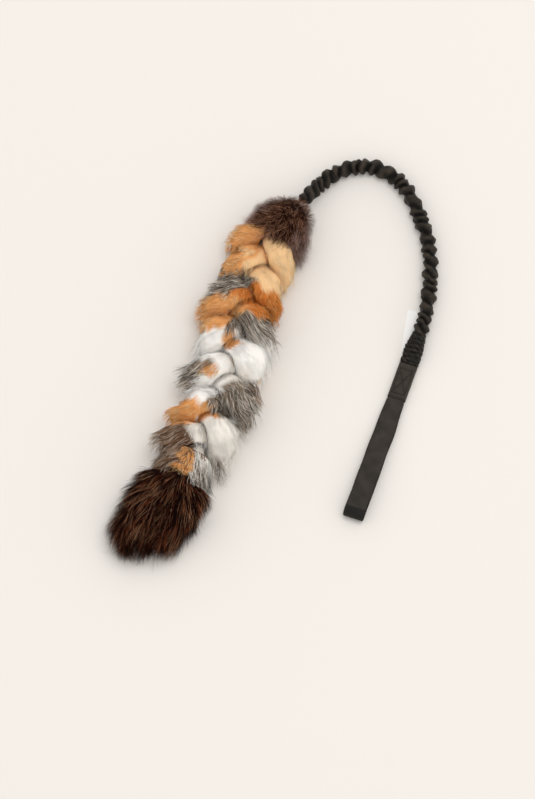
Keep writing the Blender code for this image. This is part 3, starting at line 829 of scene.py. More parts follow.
def fur_finish():
    """Hair and hide, coloured by each hair's own dye."""
    finish = Finish("hair", roughness=0.70, specular=0.04)
    finish.set("Base Color", finish.node("ShaderNodeAttribute", {"attribute_name": "dye"}))
    finish.set("Roughness", 0.62 + 0.16 * finish.noise(finish.object_place(), 0.0016, 3.0))
    return finish.material


def sleeve_finish(colour, light):
    """Closely woven satin fabric: fine warp and weft, with a painted highlight on the crests of its folds,
    varied by rubbing, so that the waists between them stay darker.
    """
    finish = Finish("sleeve_satin", roughness=0.42, specular=0.14)
    weave = finish.weave_place()
    warp = finish.ridges(weave, 0.00045, "X")
    weft = finish.ridges(weave, 0.00045, "Y")
    rub = finish.noise(finish.object_place(), 0.006, 3.0)
    # Share of painted highlight on the crests of the gathers, read from the mesh
    crest = finish.node("ShaderNodeAttribute", {"attribute_name": "sheen_and_rub"}, out=2)
    finish.set("Base Color", finish.blend(crest**1.6 * (0.25 + 1.1 * rub), colour, light))
    finish.set("Roughness", 0.24 + 0.25 * rub)
    finish.bump(warp * weft + 4.0 * rub, 0.00012, 0.8)
    return finish.material


def webbing_finish(colour, light):
    """Flat webbing: fine ribs across it, twisted warp along it, a little lint, and painted shade and
    highlight round its fold.
    """
    finish = Finish("webbing_weave", roughness=0.62, specular=0.25)
    weave = finish.weave_place()
    ribs = finish.ridges(weave, 0.0009, "Y")
    warp = finish.ridges(weave, 0.0007, "X")
    cloud = finish.noise(finish.object_place(), 0.012, 4.0)
    lint = finish.noise(finish.object_place(), 0.0010, 2.0)
    # Painted shade round the fold and a painted highlight on the crease above it, read from the mesh
    shade = finish.node("ShaderNodeAttribute", {"attribute_name": "fold_painted_light"}, out=2)
    woven = finish.blend(1.9 * cloud**2.4 + 0.35 * ribs * lint, colour, light)
    shaded = finish.node("ShaderNodeVectorMath", {"operation": "SCALE"}, {0: woven, 3: shade})
    finish.set("Base Color", shaded)
    finish.set("Roughness", 0.52 + 0.22 * lint)
    finish.bump(ribs * warp + 0.3 * lint, 0.00022, 0.7)
    return finish.material


def plain_finish(name, colour, light, roughness, grain=0.0008, depth=0.00008, sheen=0.0):
    """A small part's finish: fine grain, with the colour drifting a little over it."""
    finish = Finish(name, roughness=roughness, sheen=sheen)
    fine = finish.noise(finish.object_place(), grain, 3.0)
    finish.set("Base Color", finish.blend(fine, colour, light))
    finish.bump(fine, depth, 0.7)
    return finish.material


def cord_finish(name, colour, light):
    """A braided or wound cord: slanted ridges over the whole of it."""
    finish = Finish(name, roughness=0.75, sheen=0.15)
    place = finish.object_place()
    slant = finish.ridges(place, 0.0012, "DIAGONAL")
    fine = finish.noise(place, 0.0006, 2.0)
    finish.set("Base Color", finish.blend(0.6 * slant + 0.4 * fine, colour, light))
    finish.bump(slant, 0.00015, 0.8)
    return finish.material


# Pelts: their surface, their lobes and their hair


class Braid:
    """The braid's line and the strands that lie along it."""

    def __init__(self, sizes):
        self.sizes = sizes
        self.height = LAY_HEIGHT + sizes.strand_depth
        line = []
        for drop in (0.0, STRAIGHT_END, 2 * STRAIGHT_END):
            line.append(leaning(SLEEVE_PIVOT, COLLAR_LEAN, 0.0, -STRAND_TOP - drop, 0.0, self.height))
        for x, y in BRAID_LINE:
            line.append((x, y, self.height))
        for rise in (STRAIGHT_END, 0.0):
            line.append(leaning(BRAID_END, TAIL_LEAN, 0.0, rise, 0.0, self.height))
        self.line = Line(placed(line))
        self.stations = np.linspace(0.0, self.line.length, BRAID_STATIONS)
        self.spots = self.line.at(self.stations)
        self.headings = self.line.heading(self.stations)

    def free(self, distance):
        """0 where the strands are bound at either end, and 1 where they lie free."""
        nearest = np.minimum(distance, self.line.length - distance)
        return smooth((nearest - BOUND_LENGTH) / GATHER_LENGTH)

    def middle(self, index, distance):
        """The middle of a strand: a figure of eight across the braid, once in each pitch."""
        heading = self.line.heading(distance)
        right = np.stack([-heading[..., 1], heading[..., 0], 0 * heading[..., 2]], axis=-1)
        turn = 2 * pi * (distance - FIRST_LEFT - index * self.sizes.pitch / len(STRANDS)) / self.sizes.pitch
        free = self.free(distance)
        across = -mix(END_LAY, LAY_WIDTH, free) * np.cos(turn)
        up = -mix(END_LAY, LAY_HEIGHT, free) * np.sin(2 * turn)
        return self.line.at(distance) + across[..., None] * right + up[..., None] * UP

    def local(self, points):
        """Along and across the braid, in metres, for points in the frame."""
        along = np.empty(len(points))
        across = np.empty(len(points))
        for part in batches(len(points)):
            batch = points[part, :2]
            apart = batch[:, None, :] - self.spots[None, :, :2]
            nearest = (apart**2).sum(axis=2).argmin(axis=1)
            heading = self.headings[nearest, :2]
            off = batch - self.spots[nearest, :2]
            along[part] = self.stations[nearest] + (off * heading).sum(axis=1)
            across[part] = off[:, 1] * heading[:, 0] - off[:, 0] * heading[:, 1]
        return along, across

    def heading_at(self, along):
        return self.line.heading(np.clip(along, 0.0, self.line.length))


def pressed_rings(middles, headings, sides_free, depths_free, others, sides):
    """Rings round middles, each as far out as it lies free or meets its neighbours halfway."""
    across = unit(np.cross(headings, UP))
    over = np.cross(across, headings)
    angle = round_angles(sides, 0.5)
    rings = np.empty((len(middles), sides, 3))
    pressed = np.zeros((len(middles), sides))
    places = zip(middles, across, over, sides_free, depths_free)
    for row, (middle, right, top, side, depth) in enumerate(places):
        apart = others - middle
        far = np.linalg.norm(apart, axis=1)
        way = unit(np.cos(angle)[:, None] * side * right + np.sin(angle)[:, None] * depth * top)
        free = 1.0 / np.hypot(way @ right / side, way @ top / depth)
        toward = way @ apart.T
        halfway = (far - FUR_GAP) * far / (2 * np.maximum(toward, FACING))
        halfway = np.where(toward > FACING, halfway, UNPRESSED)
        reach = np.minimum(free, halfway.min(axis=1))
        rings[row] = middle + reach[:, None] * way
        pressed[row] = 1.0 - reach / free
    return rings, pressed


def nearest_distance(points, spots):
    """How far each point lies from the nearest of some spots."""
    far = np.empty(len(points))
    for part in batches(len(points)):
        apart = points[part, None, :] - spots[None, :, :]
        far[part] = np.sqrt((apart**2).sum(axis=2).min(axis=1))
    return far


def lobe_cover(along, across, upper):
    """For points of the braid, the lobe that each is in, or -1, and how near it is to its middle."""
    plan = np.stack([along, across], axis=-1)
    shifted = plan + np.stack([stray(plan, kind) for kind in LOBE_DRIFT], axis=-1)
    best = np.ones(len(plan))
    found = np.full(len(plan), -1)
    for number, lobe in enumerate(LOBES):
        comb = radians(lobe.comb)
        upstream = HAIR_CARRY * COATS[lobe.coat].length * np.array([cos(comb), sin(comb)])
        off = shifted - np.array([lobe.along, lobe.across]) / 1000 + upstream
        turn = radians(lobe.turn)
        lengthwise = off[:, 1] * cos(turn) + off[:, 0] * sin(turn)
        crosswise = -off[:, 1] * sin(turn) + off[:, 0] * cos(turn)
        far = np.hypot(lengthwise * 1000 / lobe.reach, crosswise * 1000 / lobe.width)
        nearer = (far < best) & upper
        best[nearer] = far[nearer]
        found[nearer] = number
    return found, 1.0 - best


def grid_normals(rings):
    """Outward normals of a closed grid of rings."""
    along = np.gradient(rings, axis=0)
    around = np.roll(rings, -1, axis=1) - np.roll(rings, 1, axis=1)
    normals = unit(np.cross(around, along))
    outward = rings - rings.mean(axis=1, keepdims=True)
    flip = np.sign((normals * outward).sum(axis=2).mean())
    return normals * flip


def scatter(rng, rings, weight, density):
    """Random places on a closed grid of rings: their positions, normals and headings along it."""
    count, sides = rings.shape[:2]
    wrapped = np.concatenate([rings, rings[:, :1]], axis=1)
    a, b = wrapped[:-1, :-1], wrapped[1:, :-1]
    c, d = wrapped[1:, 1:], wrapped[:-1, 1:]
    area = 0.5 * np.linalg.norm(np.cross(c - a, d - b), axis=2)
    chance = area * weight[:-1]
    total = int(chance.sum() * density * SQUARE_MM)
    picked = rng.choice(chance.size, size=total, p=(chance / chance.sum()).ravel())
    i, j = np.unravel_index(picked, chance.shape)
    u, v = rng.random(total), rng.random(total)
    k = (j + 1) % sides
    shares = ((1 - u) * (1 - v), u * (1 - v), u * v, (1 - u) * v)
    picks = ((i, j), (i + 1, j), (i + 1, k), (i, k))

    def read(grid):
        return sum(share[:, None] * grid[pick] for share, pick in zip(shares, picks))

    normals = grid_normals(rings)
    headings = unit(np.gradient(rings.mean(axis=1), axis=0))
    lengthwise = (1 - u)[:, None] * headings[i] + u[:, None] * headings[np.minimum(i + 1, count - 1)]
    return read(rings), unit(read(normals)), unit(lengthwise)


def comb_hair(rng, roots, normals, flow, coats, length, seed):
    """The points along each hair: it stands from the hide, leans with the flow and clumps."""
    lift = np.array([COATS[name].lift for name in coats])
    curl = np.array([COATS[name].curl for name in coats])
    clump = np.array([COATS[name].clump for name in coats])
    count = len(roots)
    sway = np.stack([wander(roots, SWAY_SIZE, seed + k) for k in range(3)], axis=-1)
    loose = rng.normal(size=(count, 3))
    lean = unit(flow - normals * (flow * normals).sum(axis=1, keepdims=True))
    stand = lift * (1.0 + STAND_SPREAD * rng.normal(size=count))
    start = normals * stand[:, None] + lean * (1 - lift)[:, None]
    start = unit(start + SWAY_START * sway + LOOSENESS * loose)
    bend = BEND_OVER * lean - BEND_DOWN * normals - DROOP * UP + SWAY_BEND * sway
    t = HAIR_STATIONS[None, :, None]
    reach = length[:, None, None]
    points = roots[:, None, :] + reach * (t * start[:, None, :] + t**2 * bend[:, None, :])

    side = unit(np.cross(start, normals + 0.01))
    other = np.cross(side, start)
    phase = rng.uniform(0, 2 * pi, count)[:, None, None]
    turns = rng.uniform(*CURL_TURNS, count)[:, None, None]
    wave = np.sin(turns * t + phase) * side[:, None, :] + np.cos(turns * t + phase) * other[:, None, :]
    points += (curl[:, None, None] * reach * t) * wave

    leaders = rng.choice(count, size=max(1, count // HAIRS_IN_LOCK), replace=False)
    tree = kdtree.KDTree(len(leaders))
    for number, leader in enumerate(leaders):
        tree.insert(roots[leader], number)
    tree.balance()
    nearest = leaders[[tree.find(root)[1] for root in roots]]
    pull = (clump * rng.uniform(LEAST_PULL, 1.0, count))[:, None, None] * t**PULL_EASE
    points += pull * (points[nearest] - points)
    lowest = FLOOR_CLEARANCE + LAYING * rng.random(points.shape[:2])
    points[..., 2] = np.maximum(points[..., 2], lowest)
    return points


def dye_hair(rng, coats, roots, seed):
    """The colour at the points along each hair, from its coat's dyes."""
    count = len(coats)
    shades = np.empty((count, len(HAIR_STATIONS), 3))
    chance = rng.random(count)
    for name in set(coats):
        mine = np.flatnonzero(np.array(coats) == name)
        low = 0.0
        for share, root, tip in COATS[name].dyes:
            picked = mine[(chance[mine] >= low) & (chance[mine] < low + share + 1e-9)]
            low += share
            t = (HAIR_STATIONS**TIP_EASE)[None, :, None]
            shades[picked] = mix(np.array(root), np.array(tip), t)
    tone = 1.0 + TONE_SPREAD * rng.normal(size=count) + TONE_SPREAD * wander(roots, TONE_SIZE, seed)
    tone = np.clip(tone, *TONE_RANGE)[:, None, None]
    shades *= 1.0 + (tone - 1.0) * (1.0 - PALE_EVENNESS * shades.mean(axis=(1, 2), keepdims=True))
    return np.clip(shades, *SHADE_RANGE)


def hair_tubes(rng, points, normals, width):
    """Flattish three-sided hairs that taper along their points, broad side out, and end in one point."""
    count = len(points)
    heading = unit(np.gradient(points, axis=1))
    outward = normals[:, None, :] + HAIR_TWIST * rng.normal(size=(count, 1, 3))
    right = unit(np.cross(outward, heading))
    over = np.cross(heading, right)
    tubes = np.empty((count, HAIR_POINTS, 3))
    for row, taper in enumerate(HAIR_TAPER):
        half = (width * taper / 2)[:, None]
        for corner, (aside, above) in enumerate(HAIR_SECTION):
            off = aside * right[:, row] + above * over[:, row]
            tubes[:, 3 * row + corner] = points[:, row] + off * half
    tubes[:, 9] = points[:, 3]
    tubes[..., 2] = np.maximum(tubes[..., 2], FLOOR_CLEARANCE / 2)
    return tubes


def bake_map(mesh, hide_corners, hairs):
    """A UV map with the hide on the left quarter and each hair in a small cell on the rest."""
    layer = mesh.uv_layers.new(name="OFBake")
    columns = max(1, int(ceil(sqrt(hairs * CELLS_WIDE))))
    rows = max(1, int(ceil(hairs / columns)))
    cell = []
    for face in HAIR_FACES:
        for point in face:
            row = point // 3
            turn = (point % 3) / 3 if row < 3 else 0.5
            cell.append((CELL_EDGE + CELL_SIZE * turn, CELL_EDGE + CELL_SIZE * CELL_ROWS[row]))
    cell = np.array(cell)
    index = np.arange(hairs)
    corner = np.stack([index % columns, index // columns], axis=-1)[:, None, :]
    spots = (corner + cell[None, :, :]) / np.array([columns, rows])
    spots[..., 0] = HAIR_MAP_START + HAIR_MAP_WIDTH * spots[..., 0]
    hide = hide_corners * np.array([HIDE_MAP_WIDTH, 1.0]) + np.array([HIDE_MAP_START, 0.0])
    uv = np.concatenate([hide, spots.reshape(-1, 2)])
    layer.data.foreach_set("uv", uv.astype(np.float32).ravel())


def pelt_object(name, rings, dyes, roots, normals, flow, coats, growth, seed, finish):
    """A piece of hide with its hair, as one mesh."""
    rng = np.random.default_rng(seed)
    length = np.array([COATS[coat].length for coat in coats]) * growth
    least, chance, drift = LENGTH_SHARES
    length *= least + chance * rng.random(len(roots)) + drift * wander(roots, LENGTH_SIZE, seed + 9)
    width = np.array([COATS[coat].width for coat in coats]) * fur_sizes().hair_width
    least, chance = WIDTH_SHARES
    width *= least + chance * rng.random(len(roots))
    points = comb_hair(rng, roots, normals, flow, coats, length, seed)
    shades = dye_hair(rng, coats, roots, seed + 20)
    tubes = hair_tubes(rng, points, normals, width)
    count = len(roots)

    hide, corners, starts = skin(rings)
    template = np.concatenate([np.array(face) for face in HAIR_FACES])
    sizes = np.array([len(face) for face in HAIR_FACES])
    first = np.concatenate([[0], np.cumsum(sizes)[:-1]])
    hair_corners = (template[None, :] + HAIR_POINTS * np.arange(count)[:, None]).ravel() + len(hide)
    hair_starts = (first[None, :] + len(template) * np.arange(count)[:, None]).ravel() + len(corners)
    all_points = np.concatenate([hide, tubes.reshape(-1, 3)])
    mesh = fill_mesh(
        name, all_points, np.concatenate([corners, hair_corners]), np.concatenate([starts, hair_starts])
    )
    mesh.shade_smooth()

    soft = np.empty((len(all_points), 3))
    soft[:len(hide)] = grid_normals(rings).reshape(-1, 3)
    own = unit(tubes - points[:, np.minimum(HAIR_ROWS, 2)])
    soft[len(hide):] = (HIDE_SHADING * normals[:, None, :] + (1 - HIDE_SHADING) * own).reshape(-1, 3)
    facing = mesh.attributes.new("custom_normal", "FLOAT_VECTOR", "POINT")
    facing.data.foreach_set("vector", unit(soft).astype(np.float32).ravel())

    colours = np.ones((len(all_points), 4))
    colours[:len(hide), :3] = dyes
    colours[len(hide):, :3] = shades[:, HAIR_ROWS].reshape(-1, 3)
    layer = mesh.attributes.new("dye", "FLOAT_COLOR", "POINT")
    layer.data.foreach_set("color", colours.astype(np.float32).ravel())

    spans, sides = rings.shape[:2]
    place = corners // sides / (spans - 1), corners % sides / sides
    bake_map(mesh, np.stack([place[1], place[0]], axis=-1), count)
    return new_object(name, mesh, finish)


def root_dyes(coats):
    """The hide's colour under each coat: its hairs' root colours, mixed and a little darkened."""
    table = {}
    for name, coat in COATS.items():
        table[name] = HIDE_SHADE * sum(share * np.array(root) for share, root, _ in coat.dyes)
    return np.array([table[coat] for coat in coats])


def braid_coats(braid, points, normals, fallback):
    """For points on the braid: coat, comb, nearness to a lobe's middle, if on one, and its swelling."""
    along, across = braid.local(points)
    upper = (points[:, 2] > UPPER_FROM * braid.height) & (normals[:, 2] > UPPER_FACING)
    found, near = lobe_cover(along, across, upper)
    coats = [LOBES[number].coat if number >= 0 else fallback for number in found]
    comb = np.array([LOBES[number].comb if number >= 0 else 0.0 for number in found])
    heading = braid.heading_at(along)
    right = np.stack([-heading[:, 1], heading[:, 0], 0 * heading[:, 2]], axis=-1)
    turn = np.radians(comb)[:, None]
    outer = right * np.clip(across / OUTER, -1.0, 1.0)[:, None]
    flow = unit(np.cos(turn) * heading + np.sin(turn) * right + OUTWARD_COMB * outer)
    swell = np.array([LOBES[number].swell if number >= 0 else 0.0 for number in found]) / 1000
    swell *= np.sqrt(near * (found >= 0)) * smooth(points[:, 2] / braid.height - SWELL_FROM)
    return coats, flow, near, found >= 0, swell[:, None] * outer


def fur_sizes():
    return bpy.context.scene.tug_fur


def lay_height():
    """Height of the braid's middle over the floor."""
    return LAY_HEIGHT + bpy.context.scene.tug_braid.strand_depth


def rightward(lean):
    """The way to the right of a leaning axis."""
    return np.array([cos(lean), -sin(lean), 0.0])


# Settings that a user can change


class TugBraidSizes(bpy.types.PropertyGroup):
    pitch: FloatProperty(
        name="Pitch", description="Length of one full turn of a strand", default=0.117, unit="LENGTH"
    )
    strand_side: FloatProperty(
        name="Strand half width", description="Half width of a free strand", default=0.0165, unit="LENGTH"
    )
    strand_depth: FloatProperty(
        name="Strand half depth", description="Half depth of a free strand", default=0.0095, unit="LENGTH"
    )
    hide_share: FloatProperty(
        name="Hide share", description="Size of the hide under the hair, as a share of the strand",
        default=0.84, min=0.3, max=1.0,
    )


class TugFurSizes(bpy.types.PropertyGroup):
    density: FloatProperty(
        name="Density", description="Hairs on a square millimetre", default=0.85, min=0.01
    )
    hair_width: FloatProperty(
        name="Hair width", description="Width of a hair at its root", default=0.00042, unit="LENGTH"
    )


class TugSleeveSizes(bpy.types.PropertyGroup):
    radius: FloatProperty(
        name="Radius", description="Radius at the crest of a gather", default=0.0079, unit="LENGTH"
    )
    waist: FloatProperty(
        name="Waist", description="Radius between two gathers", default=0.0048, unit="LENGTH"
    )
    gathers: IntProperty(
        name="Gathers", description="Gathers between the collar and the cuff", default=28, min=1
    )
    colour: FloatVectorProperty(
        name="Fabric", description="Colour of the sleeve's fabric",
        default=(0.0020, 0.0016, 0.0012), subtype="COLOR",
    )
    # Colour of the painted highlight on the crests of the sleeve's gathers and the cuff's puckers, and of
    # rubbed fabric
    sheened_and_rubbed: FloatVectorProperty(
        name="Rubbed fabric", description="Colour where the fabric is rubbed",
        default=(0.0430, 0.0330, 0.0240), subtype="COLOR",
    )


class TugHandleSizes(bpy.types.PropertyGroup):
    colour: FloatVectorProperty(
        name="Webbing", description="Colour of the webbing",
        default=(0.014, 0.0112, 0.0085), subtype="COLOR",
    )
    worn: FloatVectorProperty(
        name="Worn webbing", description="Colour of the webbing's raised ribs",
        default=(0.046, 0.037, 0.029), subtype="COLOR",
    )
    thread: FloatVectorProperty(
        name="Thread", description="Colour of the stitching",
        default=(0.004, 0.0035, 0.003), subtype="COLOR",
    )
    label: FloatVectorProperty(
        name="Label", description="Colour of the blank label",
        default=(0.92, 0.91, 0.89), subtype="COLOR",
    )


class TugStageSizes(bpy.types.PropertyGroup):
    azimuth: FloatProperty(
        name="Azimuth", description="The camera's turn round the toy, in degrees", default=19.0
    )
    elevation: FloatProperty(
        name="Elevation", description="The camera's height above the horizon, in degrees", default=70.0
    )
    lens: FloatProperty(
        name="Lens", description="The camera's focal length, in millimetres", default=1000.0
    )
    floor: FloatVectorProperty(
        name="Floor", description="Colour of the floor", default=(0.875, 0.84, 0.80), subtype="COLOR"
    )
    key: FloatProperty(
        name="Key lamp", description="Power of the large lamp, in watts", default=36.0
    )
    sky: FloatProperty(
        name="Sky", description="Strength of the even light from all sides", default=0.84
    )


# One operator for the stage and for each piece or group of like pieces


class StageOperator(bpy.types.Operator):
    """Make the camera, the lamp, the even light and the pale floor"""

    bl_idname = "tug_toy.stage"
    bl_label = "Stage"

    def execute(self, context):
        sizes = context.scene.tug_stage
        scene = context.scene
        scene.view_settings.view_transform = "Standard"
        target = Vector(placed([0.0, 0.0, 0.0]))
        azimuth, elevation = radians(sizes.azimuth), radians(sizes.elevation)
        back = Vector((sin(azimuth) * cos(elevation), -cos(azimuth) * cos(elevation), sin(elevation)))
        data = bpy.data.cameras.new("camera")
        data.sensor_width = SENSOR
        data.lens = sizes.lens
        height = PHOTO_HEIGHT * MM_PER_PIXEL / 1000
        far = height / SENSOR * sizes.lens
        data.clip_end = 4 * far
        camera = bpy.data.objects.new("camera", data)
        camera.location = target + back * far
        camera.rotation_mode = "QUATERNION"
        camera.rotation_quaternion = (-back).to_track_quat("-Z", "Y")
        scene.collection.objects.link(camera)
        scene.camera = camera

        lamp = bpy.data.lights.new("key_lamp", "AREA")
        lamp.shape = "DISK"
        lamp.size = LAMP_SIZE
        lamp.energy = sizes.key
        lamp.color = WARM_WHITE
        key = bpy.data.objects.new("key_lamp", lamp)
        key.location = LAMP_PLACE
        key.rotation_mode = "QUATERNION"
        key.rotation_quaternion = (-key.location).to_track_quat("-Z", "Y")
        scene.collection.objects.link(key)

        world = bpy.data.worlds.new("even_light")
        world.use_nodes = True
        shade = world.node_tree.nodes["Background"]
        shade.inputs["Color"].default_value = (*WARM_WHITE, 1.0)
        shade.inputs["Strength"].default_value = sizes.sky
        scene.world = world

        signs = ((-1, -1), (1, -1), (1, 1), (-1, 1))
        corners = [(FLOOR_HALF * x, FLOOR_HALF * y, 0.0) for x, y in signs]
        mesh = bpy.data.meshes.new("floor")
        mesh.from_pydata(corners, [], [(0, 1, 2, 3)])
        finish = Finish("floor_paper", roughness=0.95, specular=0.1)
        finish.set("Base Color", tuple(sizes.floor))
        new_object("floor", mesh, finish.material)
        return {"FINISHED"}


def sleeve_line():
    start = (*SLEEVE_PIVOT, SLEEVE_START)
    return Line(placed([start, *CORD_ROUTE, (HANDLE_X, CUFF_TOP + SEAT, SLEEVE_RADIUS)]))


def sleeve_gathers(sizes, length, s, phi):
    """The sleeve's radius at places along and round it, and the share of painted highlight on its gathers'
    crests there.
    """
    spacing = length / sizes.gathers
    ring = np.stack([s, SLEEVE_CORE * np.cos(phi), SLEEVE_CORE * np.sin(phi)], axis=-1)
    drift = np.stack([s, 0 * s], axis=-1)
    slant = GATHER_SLANT + stray(drift, SLANT_DRIFT, spacing)
    slant_way = stray(drift, SLANT_TURN, spacing)
    phase = s / spacing + stray(drift, SPACING_DRIFT, spacing)
    phase += slant * np.cos(phi - slant_way) + stray(ring, GATHER_WARP)
    crest = (0.5 + 0.5 * np.cos(2 * pi * phase)) ** CREST_ROUNDING
    swell = 1.0 + stray(ring, CREST_DRIFT, spacing)
    reach = sizes.waist + (sizes.radius - sizes.waist) * crest * swell
    reach += stray(ring, SLEEVE_PUCKER) + stray(ring, SLEEVE_CREASE)
    clear_of_cuff = smooth((length - s) / CUFF_JOIN)
    reach = mix(SLEEVE_RADIUS - CUFF_INSET, reach, clear_of_cuff)
    reach *= np.maximum(np.sqrt(np.clip(s / SLEEVE_ROUNDING, 0.0, 1.0)), LEAST_ROUNDING)
    reach = np.clip(reach, 0.0, SLEEVE_RADIUS * LARGEST_GATHER)
    return reach, crest * np.clip(swell, *CREST_RANGE)


class SleeveOperator(bpy.types.Operator):
    """Make the gathered sleeve and the elastic inside it"""

    bl_idname = "tug_toy.sleeve"
    bl_label = "Gathered sleeve"

    def execute(self, context):
        sizes = context.scene.tug_sleeve
        line = sleeve_line()
        finish = sleeve_finish(tuple(sizes.colour), tuple(sizes.sheened_and_rubbed))
        distance = np.linspace(0.0, line.length, sizes.gathers * GATHER_RINGS)
        path = line.at(distance)
        s, phi = np.meshgrid(distance, round_angles(SLEEVE_SIDES), indexing="ij")
        # The radius, and the share of painted highlight that each gather's crest gets
        reach, sheened_and_rubbed = sleeve_gathers(sizes, line.length, s, phi)
        rings = path[:, None, :] + reach[..., None] * round_ways(path, phi)
        rings[..., 2] = np.maximum(rings[..., 2], FLOOR_CLEARANCE / 2)
        sleeve = tube_object("gathered_sleeve", rings, finish, sheened_and_rubbed)
        start, end = tuple(path[0]), tuple(path[-1])

        core = plain_finish("elastic_cover", (0.62, 0.60, 0.55), (0.74, 0.72, 0.67), 0.8)
        inner = line.at(np.linspace(ELASTIC_START, line.length, ELASTIC_RINGS))
        off = round_ways(inner, round_angles(ELASTIC_SIDES))
        elastic = tube_object("elastic", inner[:, None, :] + ELASTIC_RADIUS * off, core)

        parts = ((sleeve, "bungee_sleeve", "sleeve_fabric"), (elastic, "elastic_cord", "elastic"))
        for piece, node, slot in parts:
            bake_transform(piece)
            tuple(start)
            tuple(end)
            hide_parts(node)
        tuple(start)
        [tuple(point) for point in line.at(np.linspace(0.0, line.length, 60))]
        return {"FINISHED"}


def stitch(points, radius):
    """Rows of one short sewn thread that dips into the cloth at both ends."""
    path = np.asarray(points, float)
    return path[:, None, :] + radius * round_ways(path, round_angles(THREAD_SIDES))


def join_skins(name, groups, finish):
    """One mesh from the rows of many small tubes."""
    points, corners, starts = [], [], []
    base, loops = 0, 0
    for rows in groups:
        own, faces, first = skin(rows)
        points.append(own)
        corners.append(faces + base)
        starts.append(first + loops)
        base += len(own)
        loops += len(faces)
    mesh = fill_mesh(name, np.concatenate(points), np.concatenate(corners), np.concatenate(starts))
    mesh.shade_smooth()
    return new_object(name, mesh, finish)


def thread_finish():
    colour = tuple(bpy.context.scene.tug_handle.thread)
    light = tuple(3 * part for part in colour)
    return plain_finish("sewing_thread", colour, light, 0.4, 0.0004, 0.00005)


def squared(wave, flat):
    """A wave between -1 and 1 that is steepened, so that the ring it makes grows square."""
    return np.sign(wave) * np.abs(wave) ** flat


def flattened_rings(y, half, top, flat, sides):
    """Rings from the underside up to a top, and how high in them each point lies, from -1 to 1."""
    angle = round_angles(sides, 0.5)[None, :]
    level = 0 * y * angle
    over = squared(np.sin(angle), flat) + level
    x = HANDLE_X + half * squared(np.cos(angle), flat) + level
    return np.stack([x, y + level, mix(UNDERSIDE, top, 0.5 + 0.5 * over)], axis=-1), over


def cuff_shape(t):
    """The cuff's half width, the height of its top and its flatness, at a share of its length."""
    half = mix(SLEEVE_RADIUS, CUFF_END_HALF, smooth(2 * t))
    top = mix(2 * SLEEVE_RADIUS, UNDERSIDE + TAB_HEIGHT, t**CUFF_EASE)
    return half, top, mix(1.0, CUFF_END_FLATNESS, t)


def cuff_top(x, y):
    """Height of the cuff's upper side at a plan place."""
    half, top, flat = cuff_shape(np.clip((CUFF_TOP - y) / CUFF_LENGTH, 0.0, 1.0))
    share = np.clip(abs(x - HANDLE_X) / half, 0.0, 1.0)
    over = (1.0 - share ** (2 / flat)) ** (flat / 2)
    return mix(UNDERSIDE, top, 0.5 + 0.5 * over)


class CuffOperator(bpy.types.Operator):
    """Make the puckered cuff, its rows of zigzag stitches and the blank label"""

    bl_idname = "tug_toy.cuff"
    bl_label = "Stitched cuff"

    def execute(self, context):
        sizes = context.scene.tug_sleeve
        finish = sleeve_finish(tuple(sizes.colour), tuple(sizes.sheened_and_rubbed))
        t = np.linspace(0.0, 1.0, CUFF_RINGS)[:, None]
        angle = round_angles(CUFF_SIDES, 0.5)[None, :]
        pucker = CUFF_PUCKER * np.cos(2 * pi * CUFF_PUCKERS * t + PUCKER_SWAY * np.sin(2 * angle))
        pucker *= smooth(4 * t) * smooth(4 * (1 - t))
        half, top, flat = cuff_shape(t)
        y = CUFF_TOP - t * CUFF_LENGTH
        ring, over = flattened_rings(y, half + pucker, top + pucker, flat, CUFF_SIDES)
        ring[..., 2] += stray(ring, CUFF_CREASE) * (over > CREASED_ABOVE)
        ring[..., 0] += stray(ring, CUFF_BULGE)
        # Paler where the puckers rise, which is a painted highlight, and by random rubbing
        sheened_and_rubbed = CUFF_RUBBED + pucker / PUCKER_HIGHLIGHT_DEPTH + stray(ring, CUFF_RUB)
        sheened_and_rubbed = np.clip(sheened_and_rubbed, 0.0, MOST_RUBBED)
        cuff = tube_object("stitched_cuff", placed(ring), finish, sheened_and_rubbed)
        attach(cuff, "cuff")
        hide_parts("sleeve_cuff")

        seam = join_skins("cuff_stitches", self.zigzags(), thread_finish())
        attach(seam, "cuff")

        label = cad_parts["label"]
        colour = tuple(context.scene.tug_handle.label)
        paper = plain_finish("label_satin", colour, (0.97, 0.965, 0.95), 0.5, 0.0005, 0.00003, 0.1)
        label.data.materials.clear()
        label.data.materials.append(paper)
        return {"FINISHED"}

    def zigzags(self):
        threads = []
        for row in range(ZIGZAG_ROWS):
            middle = CUFF_TOP - ZIGZAG_FIRST - row * ZIGZAG_PITCH
            for step in range(ZIGZAG_STEPS):
                left = HANDLE_X - ZIGZAG_LEFT + step * ZIGZAG_STEP
                rise = ZIGZAG_RISE if step % 2 else -ZIGZAG_RISE
                path = []
                for share in (0.0, 0.25, 0.5, 0.75, 1.0):
                    x, y = left + ZIGZAG_STEP * share, mix(middle - rise, middle + rise, share)
                    path.append((x, y, cuff_top(x, y) + ZIGZAG_ARCH * sin(pi * share) - ZIGZAG_SUNK))
                threads.append(stitch(placed(path), ZIGZAG_THREAD))
        return threads


